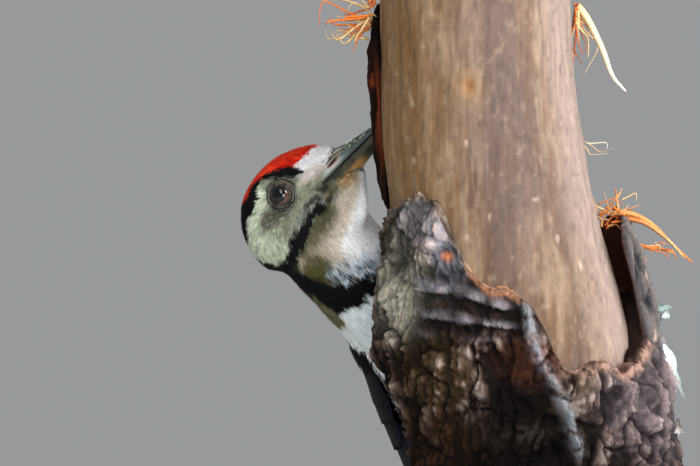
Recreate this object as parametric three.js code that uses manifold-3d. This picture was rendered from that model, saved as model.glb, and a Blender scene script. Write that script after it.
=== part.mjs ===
// A young great spotted woodpecker, life size, clinging to a short cut length of trunk
// that stands on a display stand.
//
// Millimetres, +Z up, origin in the middle of the underside of the stand's base.
// The bird clings to the far side of the trunk (+Y). Its head reaches past the trunk's
// left side (-X), with the bill turned back towards the wood.
//
// The bird's solids reach out to the tips of its feathers.

import * as THREE from 'three';
import Module from 'manifold-3d';

const wasm = await Module();
wasm.setup();

// ---------------------------------------------------------------------------
// Driving dimensions
// ---------------------------------------------------------------------------

const GAP = 0.3; // clearance between pieces that touch

// Where the trunk and the bird stand over the middle of the base.
const TRUNK_SHIFT = [-8, -8, 0];

// Trunk: bare wood with a jagged sleeve of bark round its lower part.
const TRUNK_BOTTOM = 45;
const TRUNK_TOP = 332;
const TRUNK_SIDES = 24;
const BARK_SIDES = 36;
const BARK_THICKNESS = 4.2;

// Stand.
const BASE_RADIUS = 78;
const BASE_THICKNESS = 11;
const BASE_BEVEL = 2.5;
const ROD_RADIUS = 4.5;
const ROD_SPACING = 26;

// Head: its frame's origin lies in the middle plane, between the corners of the mouth.
const HEAD_ORIGIN = [-53.4, 32.5, 259.5];
const HEAD_PITCH = 47; // bill above the horizontal, degrees
const HEAD_YAW = 16; // bill turned towards -Y
const HEAD_ROLL = 20; // crown tipped towards +Y, which shows the throat
const HEAD_BACK = -30.4;
const HEAD_FRONT = 14;

// Bill: upper and lower mandible meet on one line.
const BILL_TIP = 34;
const BILL_ROOT = 0.5;
const GAPE_LEVEL = -1.8;
const BILL_TIP_WIDTH = 1;
const LOWER_TIP_SHORTER = 1;

// Eyes.
const EYE_RADIUS = 4.3;
const EYE_PLACE = [-8.4, 3.2, 8.9]; // forward, up, out to the side
const SOCKET_RADIUS = 4.75; // rim of the lids
const SOCKET_DEPTH = 2.4;

// Folded wing.
const WING_THICKNESS = 2.6;
const WING_TIP_THICKNESS = 1.2;
const WING_BEND_SHARE = 0.4; // how thick the wing is at its bend, as a share
const WING_LIFT = 0.7; // room between the wing and the body's flank

// Tail.
const TAIL_PAIRS = 5;
const TAIL_FEATHER_THICKNESS = 0.9;

// Feet.
const TARSUS_RADIUS = 1.45;
const TOE_RADIUS = 1.35;
const CLAW_LENGTH = 7;
const FOOT_LIFT = 3.6; // middle of the foot's pad over the bark
const HEEL_LIFT = 11;

// ---------------------------------------------------------------------------
// Small geometry kit
// ---------------------------------------------------------------------------

const vec = (x, y, z) => new THREE.Vector3(x, y, z);
const radians = THREE.MathUtils.degToRad;
const lerp = THREE.MathUtils.lerp;

// A smooth function through [x, value] pairs with rising x, flat beyond both ends.
function profile(pairs) {
  const slope = (i) => {
    const before = pairs[Math.max(i - 1, 0)];
    const after = pairs[Math.min(i + 1, pairs.length - 1)];
    return (after[1] - before[1]) / (after[0] - before[0]);
  };
  return (x) => {
    const last = pairs.length - 1;
    const at = THREE.MathUtils.clamp(x, pairs[0][0], pairs[last][0]);
    const i = Math.min(pairs.findLastIndex(([start]) => start <= at), last - 1);
    const [x0, y0] = pairs[i];
    const [x1, y1] = pairs[i + 1];
    const span = x1 - x0;
    const t = (at - x0) / span;
    const rise = t * t * (3 - 2 * t);
    const leave = t * (1 - t) * (1 - t) * span * slope(i);
    const arrive = t * t * (t - 1) * span * slope(i + 1);
    return y0 + (y1 - y0) * rise + leave + arrive;
  };
}

// A closed solid from points and triangles, turned so that its faces point out.
function solid(points, triangles) {
  let volume = 0;
  for (let i = 0; i < triangles.length; i += 3) {
    const [a, b, c] = [0, 1, 2].map((k) => points[triangles[i + k]]);
    volume += a.dot(vec(0, 0, 0).crossVectors(b, c));
  }
  const turned = volume < 0 ? triangles.toReversed() : triangles;
  const vertProperties = new Float32Array(points.flatMap((p) => p.toArray()));
  const triVerts = new Uint32Array(turned);
  return new wasm.Manifold(new wasm.Mesh({ numProp: 3, vertProperties, triVerts }));
}

// A solid skinned over rings of equally many points, closed by a fan at each end.
function loft(rings) {
  const count = rings[0].length;
  const centre = (ring) => ring.reduce((sum, p) => sum.add(p), vec(0, 0, 0)).divideScalar(count);
  const points = [...rings.flat(), centre(rings[0]), centre(rings.at(-1))];
  const triangles = [];
  for (let k = 0; k < count; k += 1) {
    const next = (k + 1) % count;
    for (let i = 0; i < rings.length - 1; i += 1) {
      const low = i * count;
      const high = low + count;
      triangles.push(low + k, low + next, high + next);
      triangles.push(low + k, high + next, high + k);
    }
    const end = (rings.length - 1) * count;
    triangles.push(points.length - 2, next, k);
    triangles.push(points.length - 1, end + k, end + next);
  }
  return solid(points, triangles);
}

// A ring of points round a centre. The shape gives the two half sizes for an angle.
function ring(centre, side, up, count, shape) {
  return Array.from({ length: count }, (_, k) => {
    const angle = (2 * Math.PI * k) / count;
    const [across, along] = shape(angle);
    return centre.clone()
      .addScaledVector(side, across * Math.cos(angle))
      .addScaledVector(up, along * Math.sin(angle));
  });
}

// A round limb along a curve, with its radius as a function of the way along it.
// It can be grown all round, past its ends too.
function limb(curve, radius, steps, sides, grow = 0) {
  const { tangents, normals, binormals } = curve.computeFrenetFrames(steps, false);
  const rings = normals.map((normal, i) => {
    const past = (i === steps ? grow : 0) - (i === 0 ? grow : 0);
    const centre = curve.getPointAt(i / steps).addScaledVector(tangents[i], past);
    const size = radius(i / steps) + grow;
    return ring(centre, normal, binormals[i], sides, () => [size, size]);
  });
  return loft(rings);
}

// A solid from a closed geometry, such as a sphere or a box, with its doubled points merged.
function fromGeometry(geometry, matrix = new THREE.Matrix4()) {
  const seen = new Map();
  const points = [];
  const position = geometry.getAttribute('position');
  const order = geometry.index ? [...geometry.index.array] : [...position.array.keys()];
  const merged = order.map((index) => {
    const p = vec(0, 0, 0).fromBufferAttribute(position, index);
    const key = p.toArray().map((v) => v.toFixed(4)).join().replaceAll('-0.0000', '0.0000');
    if (!seen.has(key)) {
      seen.set(key, points.length);
      points.push(p.applyMatrix4(matrix));
    }
    return seen.get(key);
  });
  const triangles = [];
  for (let i = 0; i < merged.length; i += 3) {
    const [a, b, c] = merged.slice(i, i + 3);
    if (a !== b && b !== c && c !== a) triangles.push(a, b, c);
  }
  return solid(points, triangles);
}

function ball(centre, radius, sides = 12) {
  const matrix = new THREE.Matrix4().makeTranslation(centre);
  return fromGeometry(new THREE.SphereGeometry(radius, sides, Math.round(sides * 0.65)), matrix);
}

// The half space behind a plane, as a large block whose face is that plane.
function halfSpace(point, normal) {
  const size = 400;
  const turn = new THREE.Quaternion().setFromUnitVectors(vec(0, 0, 1), normal);
  const matrix = new THREE.Matrix4()
    .compose(point.clone().addScaledVector(normal, -size / 2), turn, vec(1, 1, 1));
  return fromGeometry(new THREE.BoxGeometry(size, size, size), matrix);
}

// The two parts of a solid on either side of a thin cut.
function cut(body, point, normal) {
  const before = point.clone().addScaledVector(normal, -GAP / 2);
  const after = point.clone().addScaledVector(normal, GAP / 2);
  const back = body.intersect(halfSpace(before, normal));
  const front = body.intersect(halfSpace(after, normal.clone().negate()));
  return [back, front];
}

// Only the largest of the bodies that a solid has come apart into.
function largest(body) {
  const bodies = body.decompose();
  return bodies.reduce((best, next) => (next.volume() > best.volume() ? next : best));
}

function material(color, roughness, metalness = 0) {
  return new THREE.MeshStandardMaterial({ color, roughness, metalness });
}

function mesh(name, body, finish) {
  const { vertProperties, triVerts } = largest(body).getMesh();
  const geometry = new THREE.BufferGeometry();
  geometry.setAttribute('position', new THREE.BufferAttribute(vertProperties, 3));
  geometry.setIndex(new THREE.BufferAttribute(triVerts, 1));
  geometry.computeVertexNormals();
  const piece = new THREE.Mesh(geometry, finish);
  piece.name = name;
  return piece;
}

// ---------------------------------------------------------------------------
// Trunk
// ---------------------------------------------------------------------------

// The trunk's middle line leans to +X on its way down. The wood thickens with it.
const trunkMiddle = profile([
  [45, 19], [110, 15.5], [180, 9.5], [225, 3.8], [255, -1.9], [285, -5.8], [332, -7.6],
]);
const woodRadius = profile([
  [45, 37], [180, 35], [210, 34.2], [240, 31.8], [256, 30.6], [272, 30.2], [300, 28.7], [332, 28.4],
]);

// The bark's upper rim, by the angle round the trunk: 0 faces -Y, 90 faces +X.
const barkRim = profile([
  [-180, 236], [-125, 240], [-95, 244], [-76, 249], [-56, 254], [-37, 255], [-29, 249],
  [-22, 235], [-15, 230.5], [2, 226], [9, 221], [19, 204.5], [35, 208], [50, 204], [66, 212],
  [82, 222], [130, 229], [180, 236],
]);

// The bark's thickness changes on two sides, by the height, and it is cracked into plates.
const leftSwelling = profile([
  [150, 0], [172, -2], [186, -2.2], [194, -1], [203, 1.8], [211, 3.4], [222, 2.4], [238, 1.2], [250, 1.4],
]);
const rightSwelling = profile([[60, 2], [165, 4.4], [220, 5.2], [240, 4]]);

function barkThickness(angle, z) {
  const swelling = Math.sin(angle) < 0
    ? -Math.sin(angle) * leftSwelling(z)
    : Math.sin(angle) * rightSwelling(z);
  const plates = 0.9 * Math.sin(5 * angle + z / 23) + 0.7 * Math.sin(9 * angle - z / 13);
  return BARK_THICKNESS + swelling + plates;
}

function trunkPoint(angle, radius, z) {
  return vec(trunkMiddle(z) + radius * Math.sin(angle), -radius * Math.cos(angle), z);
}

function woodSurface(angle, z) {
  return woodRadius(z) + 0.5 * Math.sin(3 * angle + z / 40) + 0.3 * Math.sin(7 * angle);
}

function barkSurface(angle, z) {
  return woodSurface(angle, z) + barkThickness(angle, z);
}

function trunkRing(sides, place) {
  return Array.from({ length: sides }, (_, k) => place((2 * Math.PI * k) / sides - Math.PI));
}

// The wood, or the wood with a little clearance round it.
function woodSolid(grow = 0) {
  const rings = [];
  const steps = 8;
  for (let i = 0; i <= steps; i += 1) {
    const z = lerp(TRUNK_BOTTOM, TRUNK_TOP, i / steps);
    const level = z + (i === 0 ? -grow : 0) + (i === steps ? grow : 0);
    const place = (angle) => trunkPoint(angle, woodSurface(angle, z) + grow, z).setZ(level);
    rings.push(trunkRing(TRUNK_SIDES, place));
  }
  return loft(rings);
}

function barkSleeve(wood) {
  const rings = [];
  const steps = 7;
  const thinning = profile([[0, 0.7], [0.15, 1], [0.9, 1], [1, 0.72]]);
  for (let i = 0; i <= steps; i += 1) {
    const t = i / steps;
    rings.push(trunkRing(BARK_SIDES, (angle) => {
      const z = lerp(TRUNK_BOTTOM, barkRim(THREE.MathUtils.radToDeg(angle)), t);
      return trunkPoint(angle, woodSurface(angle, z) + barkThickness(angle, z) * thinning(t), z);
    }));
  }
  return loft(rings).subtract(wood);
}

// A loose plate of bark standing off the wood between two angles, in degrees.
function barkPlate(from, to, low, high, inner, outer) {
  const rings = [];
  const steps = 7;
  for (let i = 0; i <= steps; i += 1) {
    const t = i / steps;
    const angle = radians(lerp(from, to, t));
    const corner = (radius, level) => {
      const z = level(t);
      return trunkPoint(angle, woodRadius(z) + radius(t, z), z);
    };
    const middle = (x) => (low(x) + high(x)) / 2;
    rings.push([
      corner(inner, low), corner(outer, low), corner(outer, middle),
      corner(outer, high), corner(inner, high), corner(inner, middle),
    ]);
  }
  return loft(rings);
}

// The tall strip of bark left standing behind the bill.
function leftStrip() {
  const low = profile([[0, 252], [0.5, 248], [1, 252]]);
  const high = profile([[0, 309], [0.5, 313], [1, 300]]);
  const thickness = profile([[250, 2.6], [262, 4.4], [274, 4.7], [284, 3.6], [294, 4.6], [312, 5]]);
  const thinning = profile([[0, 1], [0.4, 0.8], [1, 0.7]]);
  return barkPlate(-84, -158, low, high, () => 0.6, (t, z) => thickness(z) * thinning(t));
}

// The short plate on the trunk's right, standing well off the wood.
function rightStrip() {
  const low = profile([[0, 216.2], [0.23, 223.4], [0.5, 226], [0.75, 228.6], [1, 230.6]]);
  const high = profile([[0, 246], [0.5, 252], [1, 247]]);
  const lean = profile([[212, 8.4], [236, 9.3], [252, 8.6]]);
  const plate = 3.4;
  return barkPlate(70, 122, low, high, (t, z) => lean(z) - plate, (t, z) => lean(z));
}

// A wedge of the space round the trunk, between two angles in degrees.
function wedge(from, to) {
  const reach = 90;
  const past = 20;
  const steps = 4;
  const level = (z) => {
    const middle = (TRUNK_TOP + TRUNK_BOTTOM) / 2;
    const corner = (angle) => trunkPoint(angle, reach, middle).setZ(z);
    const arc = Array.from({ length: steps + 1 }, (_, i) => corner(radians(lerp(from, to, i / steps))));
    return [...arc, vec(trunkMiddle(middle), 0, z)];
  };
  return loft([level(TRUNK_BOTTOM - past), level(TRUNK_TOP + past)]);
}

function buildTrunk() {
  const wood = material(0xa88e76, 0.85);
  const bark = material(0x4a3c33, 0.95);
  const trunk = new THREE.Group();
  const woodBody = woodSolid();
  const clearance = woodSolid(GAP);
  const sleeve = barkSleeve(clearance);
  const plates = { left: [-200, -24], front: [-24, 58], back: [58, 160] };
  const crack = 0.1; // degrees cut away on each side of a crack
  const barks = Object.entries(plates).map(([side, [from, to]]) => (
    mesh(`perch_bark_${side}`, sleeve.intersect(wedge(from + crack, to - crack)), bark)
  ));
  trunk.add(mesh('perch_wood', woodBody, wood), ...barks);
  trunk.add(mesh('perch_bark_strip_left', leftStrip().subtract(clearance), bark));
  trunk.add(mesh('perch_bark_strip_right', rightStrip().subtract(clearance), bark));
  return trunk;
}

// ---------------------------------------------------------------------------
// Head
// ---------------------------------------------------------------------------

// The head's frame: forward along the bill, up to the crown, out to the bird's right.
function headAxes() {
  const [pitch, yaw, roll] = [HEAD_PITCH, HEAD_YAW, HEAD_ROLL].map(radians);
  const forward = vec(Math.cos(pitch) * Math.cos(yaw), -Math.sin(yaw), Math.sin(pitch) * Math.cos(yaw));
  const level = vec(-Math.sin(pitch), 0, Math.cos(pitch));
  const side = vec(0, 0, 0).crossVectors(forward, level).normalize();
  const up = vec(0, 0, 0).crossVectors(side, forward);
  const tipped = up.clone().multiplyScalar(Math.cos(roll)).addScaledVector(side, -Math.sin(roll));
  const right = vec(0, 0, 0).crossVectors(forward, tipped);
  return { forward, up: tipped, right };
}

const head = headAxes();

function headPoint(forward, up, right) {
  return vec(...HEAD_ORIGIN)
    .addScaledVector(head.forward, forward)
    .addScaledVector(head.up, up)
    .addScaledVector(head.right, right);
}

// Crown, throat and half width of the feathered head, from the nape to the bill's root.
const crown = profile([
  [-30.4, -2.6], [-28.4, 5], [-24, 12], [-17, 16.2], [-10, 17.3], [-3, 16.2], [3, 13.6],
  [7.5, 10.6], [10, 7.4], [12, 4], [13, 0.6], [14, -4],
]);
const throat = profile([
  [-30.4, -6.2], [-27, -10.4], [-18, -15.2], [-8, -18.2], [0, -18.9], [5, -17.2], [8, -14.3],
  [11, -10.2], [14, -6.2],
]);
const headWidth = profile([
  [-30.4, 2.6], [-28, 8], [-23, 12.2], [-15, 14], [-8, 13.4], [-3, 11.2], [1, 8.4], [5, 6.3],
  [9, 5.3], [12, 4.2], [14, 2.2],
]);

function headSolid() {
  const rings = [];
  const steps = 14;
  for (let i = 0; i <= steps; i += 1) {
    const forward = lerp(HEAD_BACK, HEAD_FRONT, (1 - Math.cos((Math.PI * i) / steps)) / 2);
    const middle = (crown(forward) + throat(forward)) / 2;
    const height = (crown(forward) - throat(forward)) / 2;
    const shape = () => [headWidth(forward), height];
    rings.push(ring(headPoint(forward, middle, 0), head.right, head.up, 20, shape));
  }
  return loft(rings);
}

// Section of a mandible from side to side over its ridge, as shares of half width and height.
const BILL_SECTION = [
  [1, 0], [0.92, 0.45], [0.5, 0.86], [0, 1], [-0.5, 0.86], [-0.92, 0.45], [-1, 0],
];

// One mandible: its outer line runs from the root to the tip, its inner line is the gape.
function mandible(side, heights, grow = 0) {
  const rings = [];
  const steps = 10;
  const width = profile([[0, 5], [4, 4.6], [12, 3.9], [22, 2.7], [30, 1.7], [34, BILL_TIP_WIDTH]]);
  const tip = BILL_TIP - (side < 0 ? LOWER_TIP_SHORTER : 0);
  for (let i = 0; i <= steps; i += 1) {
    const forward = lerp(BILL_ROOT, tip, i / steps);
    const reach = forward + (i === 0 ? -grow : 0) + (i === steps ? grow : 0);
    const gape = GAPE_LEVEL + side * (GAP / 2 - grow);
    const half = width(forward) + 1.3 * grow;
    const height = side * (heights(forward) + 2.3 * grow);
    const corners = BILL_SECTION.map(([across, up]) => headPoint(reach, gape + height * up, half * across));
    rings.push(corners);
  }
  return loft(rings);
}

const culmen = profile([[0, 7.2], [4, 6.9], [11.8, 5.5], [22, 3], [30, 1.5], [34, 0.6]]);
const gonys = profile([[0, 4.6], [4, 4.5], [15, 3.4], [25, 2.2], [33, 0.8]]);

function eyeCentre(side) {
  const [forward, up, out] = EYE_PLACE;
  return headPoint(forward, up, side * out);
}

// A shallow dish round the eye, down to the rim of the lids.
function socket(side) {
  const [forward, up, out] = EYE_PLACE;
  const reach = 14;
  const radius = Math.hypot(SOCKET_RADIUS, reach - SOCKET_DEPTH);
  return ball(headPoint(forward, up, side * (out + EYE_RADIUS - SOCKET_DEPTH + reach)), radius);
}

// ---------------------------------------------------------------------------
// Neck, body and tail
// ---------------------------------------------------------------------------

// The bird's middle line, from inside the head down to the tip of the tail.
const SPINE = new THREE.CatmullRomCurve3([
  vec(-61, 34.5, 250), vec(-52, 40, 239.5), vec(-40, 49, 229), vec(-26, 59, 217), vec(-15.5, 65, 203),
  vec(-7.5, 66.5, 187), vec(-1, 65.5, 170), vec(4.5, 62.5, 153), vec(9, 59, 138), vec(13, 55, 124),
  vec(18.5, 50, 104), vec(24.5, 46, 84), vec(30.5, 42, 64),
], false, 'centripetal');

const BODY_VENTRAL = vec(0.3, -0.95, 0);
const BODY_END = 0.76; // where the flesh ends, as a share of the spine
const NECK_CUT = 0.07;
const BODY_CUT = 0.27;

// Tangent towards the head, belly side and right side at a share of the spine.
function spineFrame(t) {
  const up = SPINE.getTangent(t).negate();
  const turn = THREE.MathUtils.smoothstep(t, 0.02, 0.26);
  const hint = head.forward.clone().lerp(BODY_VENTRAL, turn);
  const right = vec(0, 0, 0).crossVectors(hint, up).normalize();
  const ventral = vec(0, 0, 0).crossVectors(up, right);
  return { up, right, ventral, centre: SPINE.getPoint(t) };
}

const bodyWidth = profile([
  [0, 13], [0.07, 15], [0.16, 16.4], [0.22, 18], [0.27, 20], [0.33, 21.7], [0.45, 21.6],
  [0.55, 20.2], [0.65, 15.4], [0.76, 8.6],
]);
const bodyBack = profile([
  [0, 12], [0.07, 14], [0.12, 12.8], [0.17, 13.6], [0.25, 17], [0.35, 19.5], [0.5, 18.5],
  [0.62, 13.4], [0.76, 4.4],
]);
const bodyBelly = profile([
  [0, 16.6], [0.07, 18.8], [0.12, 16.6], [0.17, 17], [0.25, 20], [0.35, 21.6], [0.5, 20.5],
  [0.62, 14.5], [0.76, 5],
]);

function bodySolid() {
  const rings = [];
  const steps = 15;
  for (let i = 0; i <= steps; i += 1) {
    const t = (BODY_END * i) / steps;
    const { right, ventral, centre } = spineFrame(t);
    const shape = (angle) => [bodyWidth(t), Math.sin(angle) > 0 ? bodyBelly(t) : bodyBack(t)];
    rings.push(ring(centre, right, ventral, 18, shape));
  }
  return loft(rings);
}

// A flat pointed feather between two points, thickest along its shaft.
function feather(root, tip, normal, halfWidth, thickness) {
  const along = tip.clone().sub(root);
  const side = vec(0, 0, 0).crossVectors(along, normal).normalize();
  const outline = profile([[0, 0.45], [0.3, 0.85], [0.7, 1], [0.88, 0.7], [1, 0.14]]);
  const rings = [0, 0.4, 0.82, 1].map((t) => {
    const centre = root.clone().addScaledVector(along, t);
    const half = halfWidth * outline(t);
    const thick = (thickness / 2) * lerp(1, 0.6, t);
    return ring(centre, side, normal, 6, () => [half, thick]);
  });
  return loft(rings);
}

// Tail feathers fan out under each other from one root, the middle pair longest.
function tailSolid(grow = 0) {
  const root = SPINE.getPoint(0.66);
  const { right, ventral } = spineFrame(0.7);
  const tip = SPINE.getPoint(1);
  const along = tip.clone().sub(root);
  const normal = ventral.clone().addScaledVector(along, -ventral.dot(along) / along.lengthSq()).normalize();
  let tail = null;
  for (let pair = 0; pair < TAIL_PAIRS; pair += 1) {
    for (const side of [-1, 1]) {
      const reach = 1 - 0.055 * pair - 0.012 * pair * pair;
      const spread = side * (2.2 + 3.1 * pair);
      const depth = -1.2 + 0.55 * pair;
      const start = root.clone()
        .addScaledVector(right, side * (1 + 1.1 * pair)).addScaledVector(normal, depth);
      const end = root.clone().addScaledVector(along, reach)
        .addScaledVector(right, spread).addScaledVector(normal, depth);
      const blade = feather(start, end, normal, 5.6 + grow, TAIL_FEATHER_THICKNESS + 2 * grow);
      tail = tail ? tail.add(blade) : blade;
    }
  }
  return tail;
}

// ---------------------------------------------------------------------------
// Wings
// ---------------------------------------------------------------------------

const WING_START = 0.222;
const WING_END = 0.9;

// Half sizes of the form that the folded wings wrap, beyond the body too.
const wrapWidth = profile([
  [0.2, 16.2], [0.25, 18.6], [0.33, 22.1], [0.45, 22.3], [0.55, 21.1], [0.65, 18.1], [0.76, 13.5], [0.9, 8.6],
]);
const wrapBack = profile([
  [0.2, 17.4], [0.25, 18.6], [0.35, 20.2], [0.5, 19.4], [0.62, 15.4], [0.76, 10.4], [0.9, 7.4],
]);

// Angles of the wing's two edges round the body, 0 at its side and 90 along its back.
const wingFront = profile([
  [0, 2], [0.05, -14], [0.15, -20], [0.5, -14], [0.66, 0], [0.8, 18], [0.9, 27], [1, 34],
]);
const wingRear = profile([
  [0, 26], [0.05, 48], [0.15, 74], [0.35, 84], [0.5, 84], [0.62, 74], [0.85, 60], [1, 44],
]);
const PRIMARY_STEPS = [0.58, 0.7, 0.8, 0.88, 0.95];

// The stations along a wing: even ones, and a close pair at each feather tip.
function wingStations() {
  const even = Array.from({ length: 8 }, (_, i) => i / 14).map((at) => ({ at, rear: wingRear(at) }));
  const steps = PRIMARY_STEPS.flatMap((at) => {
    const rear = wingRear(at);
    return [{ at, rear: rear + 7 }, { at: at + 0.012, rear: rear - 5 }];
  });
  return [...even, ...steps, { at: 1, rear: wingRear(1) }];
}

function wingSolid(side, grow = 0) {
  const across = 4;
  const rings = wingStations().map(({ at, rear }) => {
    const t = lerp(WING_START, WING_END, at) + (at === 0 ? -grow : grow * Math.floor(at)) / 200;
    const { right, ventral, centre } = spineFrame(t);
    const full = lerp(WING_THICKNESS, WING_TIP_THICKNESS, Math.sqrt(at));
    const thickness = full * lerp(WING_BEND_SHARE, 1, Math.min(at * 14, 1));
    const point = (share, lift) => {
      const angle = radians(lerp(wingFront(at) - grow * 2, rear + grow * 2, share));
      return centre.clone()
        .addScaledVector(right, side * Math.cos(angle) * (wrapWidth(t) + lift))
        .addScaledVector(ventral, -Math.sin(angle) * (wrapBack(t) + lift));
    };
    const outer = [];
    const inner = [];
    for (let k = 0; k <= across; k += 1) {
      const share = k / across;
      const bulge = Math.min(1, 0.45 + 3 * Math.min(share, 1 - share));
      outer.push(point(share, WING_LIFT + thickness * bulge + grow));
      inner.unshift(point(share, WING_LIFT - grow));
    }
    return [...outer, ...inner];
  });
  return loft(rings);
}

// ---------------------------------------------------------------------------
// Legs
// ---------------------------------------------------------------------------

// Each foot holds the bark at an angle round the trunk and a height.
const FEET = {
  right: { side: 1, angle: -138, height: 190, heelAngle: -146, heelHeight: 172 },
  left: { side: -1, angle: 171, height: 184, heelAngle: 174, heelHeight: 166 },
};

// Toes by their direction on the bark, in degrees from straight up towards the outer side.
const TOES = [
  { turn: -24, length: 13 },
  { turn: 12, length: 17 },
  { turn: 82, length: 17 },
  { turn: 200, length: 8 },
];

// A point on the bark, moved along it and lifted off it.
function onBark(foot, across, up, lift) {
  const z = foot.height + up;
  const start = radians(foot.angle);
  const angle = start + (foot.side * across) / barkSurface(start, z);
  return trunkPoint(angle, barkSurface(angle, z) + lift, z);
}

function heelPoint(foot) {
  const angle = radians(foot.heelAngle);
  return trunkPoint(angle, barkSurface(angle, foot.heelHeight) + HEEL_LIFT, foot.heelHeight);
}

function hipPoint(foot) {
  const { right, ventral, centre } = spineFrame(0.5);
  return centre.addScaledVector(right, foot.side * 8).addScaledVector(ventral, 7);
}

function thighSolid(foot, grow = 0) {
  const knee = heelPoint(foot).lerp(hipPoint(foot), 0.5).add(vec(1.5 * foot.side, 0, -2));
  const curve = new THREE.CatmullRomCurve3([hipPoint(foot), knee, heelPoint(foot)]);
  const size = profile([[0, 6.4], [0.5, 6], [0.85, 3.8], [1, 2.2]]);
  return limb(curve, size, 6, 12, grow);
}

function tarsusSolid(foot, grow = 0) {
  const ankle = heelPoint(foot);
  const curve = new THREE.LineCurve3(ankle, onBark(foot, 0, -1.2, 3.7));
  return limb(curve, (t) => TARSUS_RADIUS * (1 - 0.12 * Math.sin(Math.PI * t)), 3, 8, grow);
}

function toeCurve(foot, { turn, length }) {
  const angle = radians(turn);
  const place = (reach, lift) => onBark(foot, Math.sin(angle) * reach, Math.cos(angle) * reach, lift);
  return new THREE.CatmullRomCurve3([
    place(0, FOOT_LIFT), place(length * 0.3, 3.8), place(length * 0.7, 2.9), place(length, 3.1),
  ]);
}

function clawCurve(foot, { turn, length }) {
  const angle = radians(turn);
  const place = (reach, lift) => onBark(foot, Math.sin(angle) * reach, Math.cos(angle) * reach, lift);
  return new THREE.CatmullRomCurve3([
    place(length + GAP + 0.4, 3.3), place(length + CLAW_LENGTH * 0.35, 3.9),
    place(length + CLAW_LENGTH * 0.65, 3.1), place(length + CLAW_LENGTH * 0.75, 1.7),
  ]);
}

function footSolid(foot) {
  return TOES.map((toe) => limb(toeCurve(foot, toe), (t) => TOE_RADIUS * lerp(1.15, 0.85, t), 4, 6))
    .reduce((all, toe) => all.add(toe), ball(onBark(foot, 0, 0, FOOT_LIFT), TOE_RADIUS * 1.35, 8));
}

// ---------------------------------------------------------------------------
// The bird put together
// ---------------------------------------------------------------------------

function buildBird() {
  const white = material(0xd9d5c6, 0.9);
  const black = material(0x1c1d22, 0.7);
  const crownRed = material(0xc92f22, 0.85);
  const horn = material(0x5d6560, 0.45);
  const iris = material(0x4a2a22, 0.1);
  const scaled = material(0x6f706a, 0.6);
  const bird = new THREE.Group();
  const sides = { right: 1, left: -1 };

  const upper = mandible(1, culmen);
  const lower = mandible(-1, gonys);
  const billRoom = mandible(1, culmen, GAP).add(mandible(-1, gonys, GAP));
  bird.add(mesh('bill_upper', upper, horn), mesh('bill_lower', lower, horn));

  let flesh = headSolid().add(bodySolid()).subtract(billRoom).subtract(tailSolid(GAP));
  for (const [name, side] of Object.entries(sides)) {
    const foot = FEET[name];
    const wing = wingSolid(side);
    const thigh = thighSolid(foot);
    const tarsus = tarsusSolid(foot).subtract(thighSolid(foot, GAP));
    const toes = footSolid(foot).subtract(tarsusSolid(foot, GAP));
    flesh = flesh.subtract(ball(eyeCentre(side), EYE_RADIUS + GAP)).subtract(socket(side));
    flesh = flesh.subtract(wingSolid(side, GAP)).subtract(thighSolid(foot, GAP));
    flesh = flesh.subtract(tarsusSolid(foot, GAP));
    bird.add(mesh(`eye_${name}`, ball(eyeCentre(side), EYE_RADIUS), iris));
    bird.add(mesh(`wing_${name}`, wing, black), mesh(`thigh_${name}`, thigh, white));
    bird.add(mesh(`tarsus_${name}`, tarsus, scaled), mesh(`foot_${name}`, toes, scaled));
    TOES.forEach((toe, i) => {
      const claw = limb(clawCurve(foot, toe), (t) => lerp(1.05, 0.32, t), 4, 6);
      bird.add(mesh(`claw_${name}_${i + 1}`, claw, horn));
    });
  }
  const neckFrame = spineFrame(NECK_CUT);
  const bodyFrame = spineFrame(BODY_CUT);
  const [lowerFlesh, headFlesh] = cut(flesh, neckFrame.centre, neckFrame.up);
  const [bodyFlesh, neckFlesh] = cut(lowerFlesh, bodyFrame.centre, bodyFrame.up);
  bird.add(mesh('head', headFlesh, crownRed), mesh('neck', neckFlesh, white));
  bird.add(mesh('body', bodyFlesh, white), mesh('tail', tailSolid(), black));
  return bird;
}

// ---------------------------------------------------------------------------
// Stand
// ---------------------------------------------------------------------------

function buildStand() {
  const painted = material(0x2c2b2a, 0.5);
  const steel = material(0x9a9a98, 0.35, 1);
  const stand = new THREE.Group();
  const outline = [
    [0, 0], [BASE_RADIUS, 0], [BASE_RADIUS, BASE_THICKNESS - BASE_BEVEL],
    [BASE_RADIUS - BASE_BEVEL, BASE_THICKNESS], [0, BASE_THICKNESS],
  ].map(([x, y]) => new THREE.Vector2(x, y));
  const base = new THREE.Mesh(new THREE.LatheGeometry(outline, 40), painted);
  base.name = 'stand_base';
  base.rotation.x = Math.PI / 2;
  stand.add(base);
  const length = TRUNK_BOTTOM - BASE_THICKNESS - 2 * GAP;
  [-1, 1].forEach((side, i) => {
    const rod = new THREE.Mesh(new THREE.CylinderGeometry(ROD_RADIUS, ROD_RADIUS, length, 16), steel);
    rod.name = `stand_rod_${i + 1}`;
    rod.rotation.x = Math.PI / 2;
    rod.position.set(
      TRUNK_SHIFT[0] + trunkMiddle(TRUNK_BOTTOM) + (side * ROD_SPACING) / 2,
      TRUNK_SHIFT[1],
      BASE_THICKNESS + GAP + length / 2,
    );
    stand.add(rod);
  });
  return stand;
}

const woodpecker = new THREE.Group();
const perched = new THREE.Group();
perched.position.set(...TRUNK_SHIFT);
perched.add(buildTrunk(), buildBird());
woodpecker.add(perched, buildStand());

export default woodpecker;
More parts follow.
